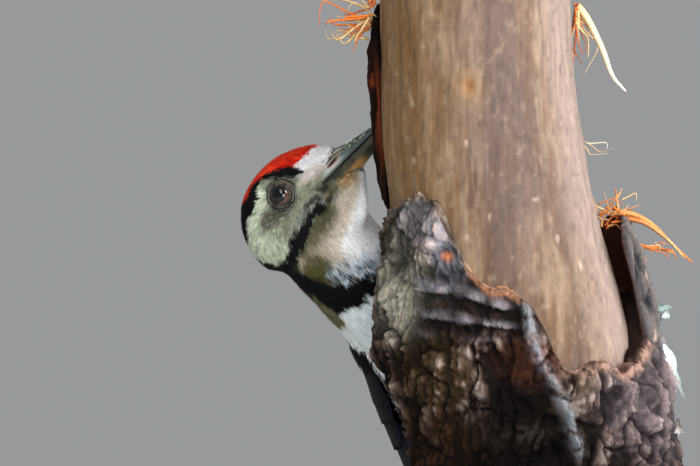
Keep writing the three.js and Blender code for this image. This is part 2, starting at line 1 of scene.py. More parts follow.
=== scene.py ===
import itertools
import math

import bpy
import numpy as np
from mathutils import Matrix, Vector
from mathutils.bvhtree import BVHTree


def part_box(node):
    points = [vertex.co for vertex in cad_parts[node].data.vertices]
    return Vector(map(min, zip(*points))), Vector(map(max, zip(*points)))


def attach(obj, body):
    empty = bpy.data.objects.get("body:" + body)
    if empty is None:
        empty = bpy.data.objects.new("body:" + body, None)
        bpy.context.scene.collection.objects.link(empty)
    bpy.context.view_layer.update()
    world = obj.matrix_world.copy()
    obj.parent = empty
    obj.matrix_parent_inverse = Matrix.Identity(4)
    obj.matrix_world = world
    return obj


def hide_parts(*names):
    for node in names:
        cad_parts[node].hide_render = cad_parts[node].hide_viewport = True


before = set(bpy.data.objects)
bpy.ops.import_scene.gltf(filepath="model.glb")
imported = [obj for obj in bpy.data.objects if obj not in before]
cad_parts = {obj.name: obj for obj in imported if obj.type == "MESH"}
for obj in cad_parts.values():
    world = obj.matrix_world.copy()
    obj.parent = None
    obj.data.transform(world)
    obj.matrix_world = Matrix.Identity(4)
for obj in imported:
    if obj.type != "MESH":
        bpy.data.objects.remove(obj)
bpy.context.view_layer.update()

# A young great spotted woodpecker clinging to a cut length of trunk, on a display stand.
#
# Shapes are worked out in millimetres in the bird's own frame, whose origin lies near the
# trunk's axis at floor level. The function `piece` moves them into the row frame, in metres.
# On the head, f runs forward, u up and r to the right. On the neck and the body, t is the
# share of the spine, and the angle runs from 0 at the back to 180 at the belly.

MM = 0.001
TRUNK_SHIFT = np.array([-8.0, -8.0, 0.0])
RNG = np.random.default_rng(20)

# ---- Numbers, curves and noise ----


def unit(v):
    return v / np.maximum(np.linalg.norm(v, axis=-1, keepdims=True), 1e-9)


def dot(a, b):
    return np.sum(a * b, axis=-1)


def limit(x):
    return np.clip(x, 0, 1)


def smooth(x, low, high):
    """0 up to `low` and 1 from `high` on, with a soft change between them."""
    t = limit((x - low) / (high - low))
    return t * t * (3 - 2 * t)


def bell(x):
    """1 at zero, falling off on both sides."""
    return np.exp(-(x**2))


def blunt(x, power):
    """A number's power that keeps its sign."""
    return np.sign(x) * np.abs(x) ** power


def steps(low, high, count):
    return np.linspace(low, high, count)[:, None]


def circle(columns, start=0.0):
    """Even angles once round, in a row."""
    return np.linspace(start, start + 2 * math.pi, columns, endpoint=False)[None, :]


def tone(code):
    """The linear colour of a six-digit screen colour."""
    c = np.array([int(code[i:i + 2], 16) for i in (0, 2, 4)]) / 255
    return np.where(c < 0.04045, c / 12.92, ((c + 0.055) / 1.055) ** 2.4)


def mix(a, b, share):
    """From a to b by a share. Colours may be given by their codes."""
    a, b = (tone(c) if isinstance(c, str) else c for c in (a, b))
    return a + (b - a) * np.asarray(share)[..., None]


def paint(colour, *coats):
    """Tints laid over a colour one after the other, each by its share."""
    for tint, share in coats:
        colour = mix(colour, tint, share)
    return colour


def profile(pairs):
    """A smooth function through (x, value) pairs with rising x, flat beyond both ends."""
    x, y = np.array(pairs, float).T
    slope = np.empty_like(y)
    slope[1:-1] = (y[2:] - y[:-2]) / (x[2:] - x[:-2])
    slope[0] = (y[1] - y[0]) / (x[1] - x[0])
    slope[-1] = (y[-1] - y[-2]) / (x[-1] - x[-2])

    def value(at):
        at = np.clip(at, x[0], x[-1])
        i = np.clip(np.searchsorted(x, at, "right") - 1, 0, len(x) - 2)
        span = x[i + 1] - x[i]
        t = (at - x[i]) / span
        leave = t * (1 - t) ** 2 * span * slope[i]
        arrive = t * t * (t - 1) * span * slope[i + 1]
        return y[i] + (y[i + 1] - y[i]) * t * t * (3 - 2 * t) + leave + arrive

    return value


def lattice(cell, seed):
    """A repeatable random number from 0 to 1 for each whole-number point."""
    c = cell.astype(np.int64)
    h = (c[..., 0] * 73856093) ^ (c[..., 1] * 19349663) ^ (c[..., 2] * 83492791) ^ (seed * 26544357)
    h = ((h ^ (h >> 13)) * 1274126177) & 0xFFFFFFFF
    h = ((h ^ (h >> 15)) * 1103515245) & 0xFFFFFFFF
    return ((h >> 8) & 0xFFFF) / 65535


def noise(points, size, seed=0):
    """Smooth noise from -1 to 1, with bumps about `size` across."""
    p = points / size
    base = np.floor(p)
    t = p - base
    t = t * t * (3 - 2 * t)
    total = 0
    for corner in itertools.product((0, 1), repeat=3):
        total = total + np.prod(np.where(corner, t, 1 - t), axis=-1) * lattice(base + corner, seed)
    return total * 2 - 1


def rough(points, size, octaves, seed):
    return sum(noise(points, size / 2**k, seed + k) / 2**k for k in range(octaves))


def ridges(points, size, octaves, seed):
    """Rounded lumps with sharp creases between them, from 0 in the creases to about 1."""
    return sum(np.abs(noise(points, size / 2**k, seed + k)) / 2**k for k in range(octaves))


def layers(value, step, edge):
    """A value turned into level steps with steep edges, like flakes that lie on each other."""
    level = np.floor(value / step)
    return step * (level + smooth(value / step - level, 1 - edge, 1))


def cells(points, size, seed):
    """Distances to the nearest and the next of scattered points, and the nearest one's number."""
    p = points / size
    base = np.floor(p)
    best = np.full(p.shape[:-1], 9.0)
    second = best.copy()
    own = best.copy()
    for offset in itertools.product((-1, 0, 1), repeat=3):
        cell = base + offset
        centre = cell + np.stack([lattice(cell, seed + k) for k in (1, 2, 3)], -1)
        distance = np.linalg.norm(p - centre, axis=-1)
        closer = distance < best
        second = np.where(closer, best, np.minimum(second, distance))
        own = np.where(closer, lattice(cell, seed + 7), own)
        best = np.where(closer, distance, best)
    return best, second, own


def squeezed(points, share):
    """Points with their heights drawn together, so that noise on them runs along the trunk."""
    return points * np.array([1, 1, share])


# ---- Meshes and materials ----

EVEN = (1, 1, 1)
ALONG_TRUNK = (1, 1, 0.12)


def add_object(name, data):
    obj = bpy.data.objects.new(name, data)
    bpy.context.scene.collection.objects.link(obj)
    return obj


def piece(name, points, faces, material, colours, maps=None, replaces=()):
    """A mesh piece from points in the bird's frame. Faces are arrays of three or four corners each."""
    mesh = bpy.data.meshes.new(name)
    points = points.reshape(-1, 3)
    counts = np.concatenate([np.full(len(f), f.shape[1]) for f in faces])
    corners = np.concatenate([f.ravel() for f in faces])
    mesh.vertices.add(len(points))
    mesh.vertices.foreach_set("co", ((points + TRUNK_SHIFT) * MM).astype(np.float32).ravel())
    mesh.loops.add(len(corners))
    mesh.loops.foreach_set("vertex_index", corners.astype(np.int32))
    mesh.polygons.add(len(counts))
    mesh.polygons.foreach_set("loop_start", np.concatenate([[0], np.cumsum(counts)[:-1]]).astype(np.int32))
    mesh.polygons.foreach_set("use_smooth", np.full(len(counts), True))
    mesh.update(calc_edges=True)
    rgba = np.ones((len(points), 4), np.float32)
    rgba[:, :3] = colours.reshape(-1, 3)
    mesh.attributes.new("Tint", "FLOAT_COLOR", "POINT").data.foreach_set("color", rgba.ravel())
    for layer, uv in (maps or {}).items():
        mesh.uv_layers.new(name=layer).data.foreach_set("uv", uv[corners].astype(np.float32).ravel())
    mesh.materials.append(material)
    obj = add_object(name, mesh)
    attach(obj, "root")
    if replaces:
        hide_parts(*replaces)


def grid_faces(rows, columns, closed=False):
    """The quads of a grid of points, closed across its columns if asked."""
    r = np.arange(rows - 1)[:, None] * columns
    c = np.arange(columns if closed else columns - 1)[None, :]
    n = (c + 1) % columns
    return np.stack([r + c, r + n, r + columns + n, r + columns + c], -1).reshape(-1, 4)


def tube_piece(name, rings, colours, ends, material, replaces, flip=False):
    """A piece from rings of points, closed to two end points. Colours: one for each point, or a function."""
    rows, columns = rings.shape[:2]
    points = np.vstack([rings.reshape(-1, 3), ends])
    if callable(colours):
        colours = colours(points)
    else:
        colours = colours.reshape(-1, 3)
        colours = np.vstack([colours, colours[:1], colours[-1:]])
    k = np.arange(columns)
    n = (k + 1) % columns
    last = (rows - 1) * columns
    first_cap = np.stack([np.full(columns, rows * columns), n, k], -1)
    last_cap = np.stack([np.full(columns, rows * columns + 1), last + k, last + n], -1)
    faces = [grid_faces(rows, columns, closed=True), first_cap, last_cap]
    if flip:
        faces = [f[:, ::-1] for f in faces]
    piece(name, points, faces, material, colours, replaces=replaces)


class Gathered:
    """Many small forms joined into one piece: their points, faces, colours and places on an unwrap."""

    def __init__(self):
        self.points, self.faces, self.colours, self.uv = [], [], [], []
        self.count = 0

    def add(self, points, faces, colours, uv=None):
        self.points.append(points.reshape(-1, 3))
        self.faces.append(faces + self.count)
        self.colours.append(colours.reshape(-1, 3))
        self.uv.append(uv)
        self.count += len(self.points[-1])

    def piece(self, name, material, slot, layer=None, replaces=()):
        maps = {layer: np.vstack(self.uv)} if layer else None
        points, faces, colours = (np.vstack(rows) for rows in (self.points, self.faces, self.colours))
        piece(name, points, [faces], material, colours, maps, replaces)


def set_sockets(node, *values, **named):
    """Fill a node's sockets, by their order or by their names, with constants or with links."""
    for key, value in (*enumerate(values), *named.items()):
        socket = node.inputs[key.replace("_", " ") if isinstance(key, str) else key]
        if hasattr(value, "is_output"):
            node.id_data.links.new(value, socket)
        else:
            socket.default_value = value
    return node.outputs[0]


def add_node(tree, kind, *values, operation=None, **named):
    """The first output of a new shader node."""
    node = tree.nodes.new("ShaderNode" + kind)
    if operation:
        node.operation = operation
    return set_sockets(node, *values, **named)


def new_material(name, **sockets):
    """A material and its shader, some of whose sockets are set."""
    material = bpy.data.materials.new(name)
    material.use_nodes = True
    shader = material.node_tree.nodes["Principled BSDF"]
    set_sockets(shader, **sockets)
    return material, shader


def grain(tree, size, stretch):
    """Noise fixed to the object, from its size in mm."""
    place = tree.nodes.new("ShaderNodeTexCoord").outputs["Object"]
    stretched = add_node(tree, "Mapping", Vector=place, Scale=stretch)
    return add_node(tree, "TexNoise", Vector=stretched, Scale=1000 / size, Detail=3)


def finish_material(name, roughness, specular=0.5, coat=0.0, vary=(), bumps=(), metallic=0.0):
    """A surface whose colour is the mesh's own tint, varied by noise.

    vary: (size in mm, stretch, low, high) brightness noise. bumps: (size in mm, stretch, depth in mm).
    """
    material, shader = new_material(name, Roughness=roughness, Specular_IOR_Level=specular, Coat_Weight=coat,
                                    Coat_Roughness=0.15, Metallic=metallic)
    tree = material.node_tree
    attribute = tree.nodes.new("ShaderNodeAttribute")
    attribute.attribute_name = "Tint"
    colour = attribute.outputs["Color"]
    for size, stretch, low, high in vary:
        level = add_node(tree, "MapRange", grain(tree, size, stretch), From_Min=0.3, From_Max=0.7,
                         To_Min=low, To_Max=high)
        colour = add_node(tree, "VectorMath", operation="SCALE", Vector=colour, Scale=level)
    set_sockets(shader, Base_Color=colour)
    normal = {}
    for size, stretch, depth in bumps:
        height = grain(tree, size, stretch)
        normal = {"Normal": add_node(tree, "Bump", Strength=1, Height=height, Distance=depth * MM, **normal)}
    set_sockets(shader, **normal)
    return material


# ---- Camera and studio: level, far off, looking along +Y ----

VIEW_WIDTH = 0.20896  # metres across the picture at the trunk's axis
VIEW_CENTRE = (-0.0528, -0.008, 0.245)
VIEW_DISTANCE = 4.0
SENSOR_WIDTH = 36.0
LIT_PLACE = (-0.03, 0, 0.2)  # all lights face it
FLOOR_REACH = 2.5
WHITE_LIGHT = (1, 1, 1)
LIGHTS = (  # name, place, size, power, colour
    ("main", (0.85, -1.05, 1.2), 0.7, 22, WHITE_LIGHT),
    ("front", (0.22, -1.6, 0.25), 0.6, 16, WHITE_LIGHT),
    ("left", (-0.6, -1.1, 1.5), 0.7, 7, (1, 0.98, 0.95)),
    ("window", (-0.5, -1.4, 1.0), 0.55, 7, (0.74, 0.87, 1)),
    ("right", (1.2, -0.4, 0.7), 0.7, 18, (0.93, 0.97, 1)),
    ("back", (-0.3, 1.4, 1.1), 0.8, 10, WHITE_LIGHT),
)


def make_camera():
    data = bpy.data.cameras.new("camera")
    data.sensor_width = SENSOR_WIDTH
    data.lens = SENSOR_WIDTH * VIEW_DISTANCE / VIEW_WIDTH
    data.clip_end = 100
    camera = add_object("camera", data)
    x, y, z = VIEW_CENTRE
    camera.location = (x, y - VIEW_DISTANCE, z)
    camera.rotation_euler = (math.pi / 2, 0, 0)
    bpy.context.scene.camera = camera


def make_studio():
    """Soft square lights, a grey surrounding and a pale floor."""
    world = bpy.data.worlds.new("studio")
    world.use_nodes = True
    set_background = world.node_tree.nodes["Background"].inputs
    set_background["Color"].default_value = (0.62, 0.64, 0.65, 1)
    set_background["Strength"].default_value = 0.5
    bpy.context.scene.world = world
    bpy.context.scene.view_settings.view_transform = "Standard"
    for name, place, size, power, colour in LIGHTS:
        data = bpy.data.lights.new(name, "AREA")
        data.size = size
        data.energy = power
        data.color = colour
        light = add_object(name, data)
        light.location = place
        light.rotation_euler = (Vector(LIT_PLACE) - Vector(place)).to_track_quat("-Z", "Y").to_euler()
    mesh = bpy.data.meshes.new("floor")
    corners = [(x * FLOOR_REACH, y * FLOOR_REACH, 0) for x, y in ((-1, -1), (1, -1), (1, 1), (-1, 1))]
    mesh.from_pydata(corners, [], [(0, 1, 2, 3)])
    paper, _ = new_material("paper", Base_Color=(0.55, 0.55, 0.54, 1), Roughness=0.9)
    mesh.materials.append(paper)
    add_object("floor", mesh)


# ---- The bird's frame: the same dimensions as in its solids ----

HEAD_ORIGIN = np.array([-53.4, 32.5, 259.5])
HEAD_PITCH, HEAD_YAW, HEAD_ROLL = (math.radians(a) for a in (47, 16, 20))
EYE_FORWARD, EYE_UP, EYE_OUT = -8.4, 3.2, 8.9
EYE_RADIUS = 4.3
LID_RADIUS = 4.75
GAPE_LEVEL = -1.8
BILL_START, BILL_TIP = -0.5, 34.0
bill_width = profile([(0, 5), (4, 4.6), (12, 3.9), (22, 2.7), (30, 1.7), (34, 1)])
culmen = profile([(0, 7.2), (4, 6.9), (11.8, 5.5), (22, 3), (30, 1.5), (34, 0.6)])
gonys = profile([(0, 4.6), (4, 4.5), (15, 3.4), (25, 2.2), (33, 0.8)])
SPINE_POINTS = np.array([
    (-61, 34.5, 250), (-52, 40, 239.5), (-40, 49, 229), (-26, 59, 217), (-15.5, 65, 203),
    (-7.5, 66.5, 187), (-1, 65.5, 170), (4.5, 62.5, 153), (9, 59, 138), (13, 55, 124),
    (18.5, 50, 104), (24.5, 46, 84), (30.5, 42, 64),
], float)
SPINE_STEPS = 360


def head_axes():
    forward = np.array([
        math.cos(HEAD_PITCH) * math.cos(HEAD_YAW),
        -math.sin(HEAD_YAW),
        math.sin(HEAD_PITCH) * math.cos(HEAD_YAW),
    ])
    level = np.array([-math.sin(HEAD_PITCH), 0, math.cos(HEAD_PITCH)])
    side = unit(np.cross(forward, level))
    up = np.cross(side, forward) * math.cos(HEAD_ROLL) - side * math.sin(HEAD_ROLL)
    return np.array([forward, up, np.cross(forward, up)])


HEAD = head_axes()  # rows: forward, up, right


def head_point(forward, up, right):
    return HEAD_ORIGIN + np.stack(np.broadcast_arrays(forward, up, right), -1) @ HEAD


def head_coords(points):
    return np.moveaxis((points - HEAD_ORIGIN) @ HEAD.T, -1, 0)


def eye_coords(points, side):
    """Height above the eye's middle along the way it looks, and distance from that line."""
    f, u, r = head_coords(points)
    return side * r - EYE_OUT, np.hypot(f - EYE_FORWARD, u - EYE_UP)


def feather_line(f, u):
    """How far forward the feathers reach at a height on the bill, and that height's share of it."""
    rise = (u - GAPE_LEVEL) / culmen(f)
    drop = (GAPE_LEVEL - u) / gonys(f)
    reach = np.where(rise > drop, 0.8 + 11.6 * limit(rise), 0.8 + 13.0 * limit(drop) ** 1.5)
    return reach, np.maximum(rise, drop)


def spine_point(t):
    """A centripetal curve through the spine's points."""
    before = 2 * SPINE_POINTS[0] - SPINE_POINTS[1]
    after = 2 * SPINE_POINTS[-1] - SPINE_POINTS[-2]
    p = np.vstack([before, SPINE_POINTS, after])
    x = t * (len(SPINE_POINTS) - 1)
    i = min(int(x), len(SPINE_POINTS) - 2)
    w = x - i
    p0, p1, p2, p3 = p[i:i + 4]
    d0, d1, d2 = (math.sqrt(np.linalg.norm(b - a)) for a, b in ((p0, p1), (p1, p2), (p2, p3)))
    t1 = ((p1 - p0) / d0 - (p2 - p0) / (d0 + d1) + (p2 - p1) / d1) * d1
    t2 = ((p2 - p1) / d1 - (p3 - p1) / (d1 + d2) + (p3 - p2) / d2) * d1
    return p1 + t1 * w + (3 * (p2 - p1) - 2 * t1 - t2) * w**2 + (2 * (p1 - p2) + t1 + t2) * w**3


def spine_frames():
    t = np.linspace(0, 1, SPINE_STEPS + 1)
    centre = np.array([spine_point(x) for x in t])
    up = -unit(np.gradient(centre, axis=0))
    hint = mix(HEAD[0], np.array([0.3, -0.95, 0]), smooth(t, 0.02, 0.26))
    right = unit(np.cross(hint, up))
    return centre, up, right, np.cross(up, right)


SPINE = spine_frames()  # middle points, and directions to the head, the right and the belly


def spine_at(t):
    x = limit(t) * SPINE_STEPS
    i = np.minimum(np.asarray(x).astype(int), SPINE_STEPS - 1)
    return [mix(row[i], row[i + 1], x - i) for row in SPINE]


def spine_coords(points):
    """Share of the spine, and the angle round it, below zero on the left."""
    centre = SPINE[0]
    i = np.argmin(np.sum(centre**2, axis=1) - 2 * points @ centre.T, axis=1)
    off = points - centre[i]
    angle = np.arctan2(dot(off, SPINE[2][i]), -dot(off, SPINE[3][i]))
    return i / SPINE_STEPS, np.degrees(angle)


# ---- Markings: one set of functions colours the skin and the coat ----

RED, RED_PAINTED_HIGHLIGHT = tone("c81304"), tone("f04a1c")
BLACK, WHITE, FOREHEAD = tone("060609"), tone("f6f4f4"), tone("e4e0e0")
# The cheek's two colours hold painted shade: the pale cheek made darker and greener, as it lies in shade
CHEEK_IN_PAINTED_SHADE, PALE_CHEEK_IN_PAINTED_SHADE, SHADE = tone("727562"), tone("b0b79f"), tone("46423a")
THROAT_OLIVE, THROAT_BEIGE = tone("474424"), tone("bfb2a0")
CHIN, GAPE_BROWN = tone("a17a4c"), tone("3f3728")
# The collar's olive and brown are the neck's white patch in painted shade, with a greenish-brown cast of
# light
NECK_OLIVE_PAINTED_SHADE, NECK_BROWN_PAINTED_SHADE, FROST = tone("6b664a"), tone("6a5238"), tone("c2cfda")
BREAST, BELLY, VENT = tone("e8efee"), tone("cfc3a8"), tone("b0564c")

# Borders on the head's sides, by the distance forward.
red_edge = profile([
    (-20, 12.4), (-16.9, 11.7), (-12.9, 12.9), (-9, 12.3), (-5.3, 10.9), (-2, 9.3), (0, 8.0),
    (2.3, 8.2), (5, 8.6), (7.9, 8.9), (9.3, 10.5),
])
band_edge = profile([
    (-30, 2.2), (-25.4, 2.0), (-23, 4.2), (-20.2, 5.6), (-18.4, 5.1), (-14.8, 7.2), (-11.8, 10.6),
    (-8.7, 10.2), (-5.8, 7.9), (-2.7, 5.4), (-0.5, 4.2), (1.1, 4.0),
])
# The malar stripe between two edges, and the grey speckles above it, in side view.
malar_low = profile([
    (-30, -19), (-25, -14.5), (-20.8, -11.3), (-18.3, -9.5), (-14.9, -8.5), (-11.4, -7.1), (-8.3, -6.4),
    (-4.4, -6),
])
malar_high = profile([
    (-30, -1.5), (-29, -3.4), (-27.4, -5.6), (-25, -6.6), (-23, -7.4), (-19.9, -5.7), (-16.3, -4.4),
    (-12.1, -4.3), (-6.5, -2.6), (-4, -2.6),
])
speckle_high = profile([(-17, -4.0), (-13.8, -2.6), (-9.9, -1.6), (-6.9, -0.4), (-3.5, -0.4), (0.6, -0.6)])
# The black on the neck's side, between two shares of the spine, by the angle round it.
neck_black_start = profile([
    (10, 0.01), (22, 0.023), (35, 0.042), (66, 0.062), (80, 0.077), (93, 0.09), (106, 0.099), (121, 0.106),
    (134, 0.114), (145, 0.124), (160, 0.136),
])
neck_black_end = profile([
    (10, 0.045), (22, 0.062), (35, 0.086), (50, 0.096), (66, 0.112), (84, 0.137), (93, 0.131), (106, 0.136),
    (119, 0.143), (125, 0.138), (140, 0.149), (160, 0.16),
])
# The black of the back reaches so many degrees round from its middle line.
black_back = profile([
    (0, 14), (0.02, 18), (0.1, 24), (0.155, 30), (0.172, 64), (0.196, 72), (0.212, 104), (0.6, 96),
])


def side_view(f, u, r):
    """Places as the camera sees them: along the head and across it."""
    return 0.961 * f - 0.26 * np.abs(r), 0.94 * u + 0.342 * np.abs(r)


def patch(x, y, middle, size):
    """1 within an oval patch, fading out over its edge."""
    return smooth(-np.hypot((x - middle[0]) / size[0], (y - middle[1]) / size[1]), -1.15, -0.45)


def face_colour(f, u, x, clouds, grizzle):
    """The pale cheek with its rim, painted darker and greener for the shade the head lies in, the grey behind
    and under the eye, the forehead and the lores.
    """
    rim = smooth(-x, 17, 24) + smooth(-f, 10, 14) * smooth(u - band_edge(f), -5, -1.5)
    return paint(
        CHEEK_IN_PAINTED_SHADE,
        (PALE_CHEEK_IN_PAINTED_SHADE, limit(0.3 + 0.45 * clouds)),
        (1.15 * PALE_CHEEK_IN_PAINTED_SHADE, limit(rim)),
        (1.25 * PALE_CHEEK_IN_PAINTED_SHADE, patch(f, u, (-14.2, 6.2), (4.4, 3.4))),
        (SHADE, 0.5 * grizzle**3 * smooth(-u, -6, 0)),
        (SHADE, (0.65 + 0.35 * grizzle) * patch(f, u, (-15.5, -0.4), (5.8, 3.2))),
        (SHADE * 0.8, 0.7 * patch(f, u, (-9.5, -1.9), (5.6, 2.0))),
        (FOREHEAD, smooth(f, -2.5, 0.5) * smooth(u, 0, 2)),
        (SHADE * 0.7, 0.6 * patch(f, u, (-1.9, 3.8), (2.2, 2.2))),
        ("bfb1a0", (0.4 + 0.4 * grizzle) * patch(f, u, (2.4, 1.6), (5.4, 3.2))),
    )


def head_colour(points, fray):
    """Colours on the head. The fray moves each tuft's borders a little."""
    f, u, r = head_coords(points)
    f = f + fray[:, 0]
    u = u + fray[:, 1]
    x, y = side_view(f, u, r)
    clouds = rough(points, 4, 2, 3)
    grizzle = 0.5 + 0.5 * np.sin(40 * fray[:, 0] + 31 * fray[:, 1])
    throat = smooth(malar_low(x) - y, -0.3, 0.4)
    beside = np.where(r > 0, r, -0.4 * r)  # the white lies a little to the left of the middle
    beige = limit(1.25 * smooth(-beside, -8.5, -4.5) + 0.25 * clouds)
    white_edge = 5.2 - 0.28 * np.clip(f - 2, 0, 8)
    chin = smooth(f, 3.5, 7.5) * smooth(-f, -12, -10) * smooth(-u, 3.2, 4.6) * smooth(u, -9.5, -7)
    salt = limit(0.5 + 1.3 * noise(points, 1.1, 11))
    speckled = (y < speckle_high(x)) & (y > malar_low(x)) & (x < 1.5) & (x > -17)
    colour = paint(
        face_colour(f, u, x, clouds, grizzle),
        (mix(THROAT_OLIVE, THROAT_BEIGE, beige), throat),
        (WHITE, throat * smooth(-beside / white_edge, -1, -0.5)),
        (SHADE, 0.55 * throat * patch(x, y, (-5.5, -8.2), (5.0, 1.8))),
        (CHIN, 0.8 * chin * smooth(np.abs(r), 1.0, 2.4)),
        (mix("282a27", "74776e", salt), speckled * 0.95),
        (mix(GAPE_BROWN, "8d7c60", 0.6 * salt), 0.8 * patch(x, y, (0.8, -3.6), (3.8, 2.0))),
    )
    stripe = (y > malar_low(x)) & (y < malar_high(x)) & (x < -3.6)
    band = (u > band_edge(f)) & (f < 0.9 - 0.5 * (u - 5))
    nape = (f < -22) & (np.abs(r) < 6)
    colour = np.where((stripe | band | nape)[:, None], BLACK, colour)
    red = (u > red_edge(f)) & (f > -19.5 - 0.4 * (u - 12))
    # Painted highlights: lighter orange streaks over the crown's red by noise, and some tufts darker by
    # chance as painted shade between the feathers
    bright = limit(0.5 + 0.9 * noise(points, 1.3, 5))
    crown = mix(RED, RED_PAINTED_HIGHLIGHT, 0.75 * bright) * (0.75 + 0.35 * grizzle)[:, None]
    return np.where(red[:, None], crown, colour)


def body_colour(points, fray):
    """Colours on the neck and the body."""
    t, turn = spine_coords(points)
    t = t + 0.0035 * fray[:, 0]
    angle = np.abs(turn) + 3.0 * fray[:, 1]
    clouds = rough(points, 6, 2, 9)
    across = np.where(turn > 0, angle, angle + 24)  # the turned head draws the throat's white to the left
    start = neck_black_start(angle)
    frosted = smooth(angle, 90, 106) * smooth(t, start - 0.036, start - 0.012)
    frosted = frosted * smooth(start - t, -0.012, 0.002)
    choice = 0.5 + 0.5 * np.sin(7 * fray[:, 0] + 5 * fray[:, 1])
    colour = paint(
        THROAT_OLIVE,
        (THROAT_BEIGE, smooth(across + 8 * clouds, 98, 118)),
        (WHITE, smooth(across + 5 * clouds, 116, 134)),
        (mix(BREAST, BELLY, smooth(t, 0.24, 0.4) * smooth(angle, 90, 140)), smooth(t, start, start + 0.012)),
        (mix(FROST, "46515c", smooth(choice, 0.5, 0.8)), frosted * (choice > 0.06)),
    )
    # The collar: painted shade, olive and brown, over the neck's white patch
    collar = (angle < 88) & (t > neck_black_end(angle) - 0.004) & (t < 0.165)
    colour = np.where(collar[:, None], mix(NECK_OLIVE_PAINTED_SHADE, NECK_BROWN_PAINTED_SHADE, smooth(-angle, -52, -30)), colour)
    black = (t > start) & (t < neck_black_end(angle)) & (angle < 165)
    colour = np.where((black | (angle < black_back(t)))[:, None], BLACK, colour)
    return mix(colour, VENT, smooth(t + 0.03 * clouds, 0.5, 0.6) * smooth(angle + 9 * clouds, 100, 125))


def on_head(points):
    """1 on the head, 0 on the neck and the body, with a narrow change between them."""
    f, u, _ = head_coords(points)
    return smooth(u + 0.25 * f, -22, -17.5) * smooth(f, -33, -29)


def markings(points, fray):
    return mix(body_colour(points, fray), head_colour(points, fray), on_head(points))


# ---- Skin: one smooth surface inside the flesh solids ----

FLESH = ("head", "neck", "body", "thigh_right", "thigh_left")
SKIN_VOXEL = 0.8
SKIN_SOFTNESS, SKIN_PASSES = 0.6, 10
SKIN_PAINTED_SHADE = 0.55  # painted shade: the skin, seen in the coat's gaps, is a darker copy of the coat's colours
FLESH_GROWTH = 0.35  # the solids swell by this much, so that they join
SKIN_MARGIN = 0.3  # how much deeper the skin lies than the coat needs


def coat_depth(points):
    """How far the skin lies under the tips of the coat."""
    t, _ = spine_coords(points)
    f, u, _ = head_coords(points)
    head = 1.0 + 0.5 * smooth(-f, 4, 16) + 0.5 * smooth(-u, 6, 14)
    body = 1.9 + 0.9 * smooth(t, 0.15, 0.35)
    share = on_head(points)
    return head * share + body * (1 - share)


def open_bill_root(points):
    """Draws the skin in under the bill's sides, forward of the line where the feathers end."""
    f, u, r = head_coords(points)
    line, share = feather_line(f, u)
    side = bill_width(f) * np.sqrt(1 - np.clip(share, 0, 0.97) ** 2) - 0.45
    inward = smooth(f, line - 3.0, line) * smooth(-share, -1.3, -1.0)
    across = np.sign(r) * (np.abs(r) + np.minimum(side - np.abs(r), 0) * inward)
    end = 11.8 + 2.0 * smooth(-u, 0, 3.5)
    held = np.clip(u, GAPE_LEVEL - gonys(f) + 0.5, GAPE_LEVEL + culmen(f) - 0.5)
    return head_point(np.minimum(f, end), u + (held - u) * smooth(f, end - 2, end), across)


def remeshed(mesh, voxel, softness, passes):
    """The points, normals and quads of a mesh grown together on a fine grid and smoothed."""
    obj = add_object("raw", mesh)
    remesh = obj.modifiers.new("remesh", "REMESH")
    remesh.mode = "VOXEL"
    remesh.voxel_size = voxel
    relax = obj.modifiers.new("smooth", "SMOOTH")
    relax.factor = softness
    relax.iterations = passes
    made = bpy.data.meshes.new_from_object(obj.evaluated_get(bpy.context.evaluated_depsgraph_get()))
    bpy.data.objects.remove(obj)
    points, normals = (np.array([getattr(v, key) for v in made.vertices]) for key in ("co", "normal"))
    return points, normals, np.array([list(p.vertices) for p in made.polygons])


def eye_hollow(points, side):
    """How far the skin sinks over an eye, so that the eye and its lids show."""
    height, reach = eye_coords(points, side)
    wide = LID_RADIUS + 0.6
    floor = 1.4 + 1.3 * smooth(reach, 4.3, wide)
    return np.where((reach < wide) & (height > 0) & (height < 8), np.maximum(height - floor, 0), 0)


def make_skin(material):
    """The flesh solids grown together, smoothed and drawn in by the coat's depth."""
    verts, faces, start = [], [], 0
    for name in FLESH:
        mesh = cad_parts[name].data
        verts += [np.array(v.co) / MM + FLESH_GROWTH * np.array(v.normal) for v in mesh.vertices]
        faces += [[start + i for i in p.vertices] for p in mesh.polygons]
        start = len(verts)
    mesh = bpy.data.meshes.new("flesh")
    mesh.from_pydata(verts, [], faces)
    points, normals, faces = remeshed(mesh, SKIN_VOXEL, SKIN_SOFTNESS, SKIN_PASSES)
    points -= TRUNK_SHIFT
    points -= normals * (coat_depth(points) + SKIN_MARGIN)[:, None]
    for side in (-1, 1):
        points -= side * HEAD[2] * eye_hollow(points, side)[:, None]
    points = open_bill_root(points)
    # The markings, darkened as painted shade deep in the coat
    colours = markings(points, np.zeros((len(points), 2))) * SKIN_PAINTED_SHADE
    piece("skin", points, [faces], material, colours, replaces=FLESH)
    return points, faces, BVHTree.FromPolygons(points.tolist(), faces.tolist())


# ---- Coat: tufts of fine blades over the skin ----

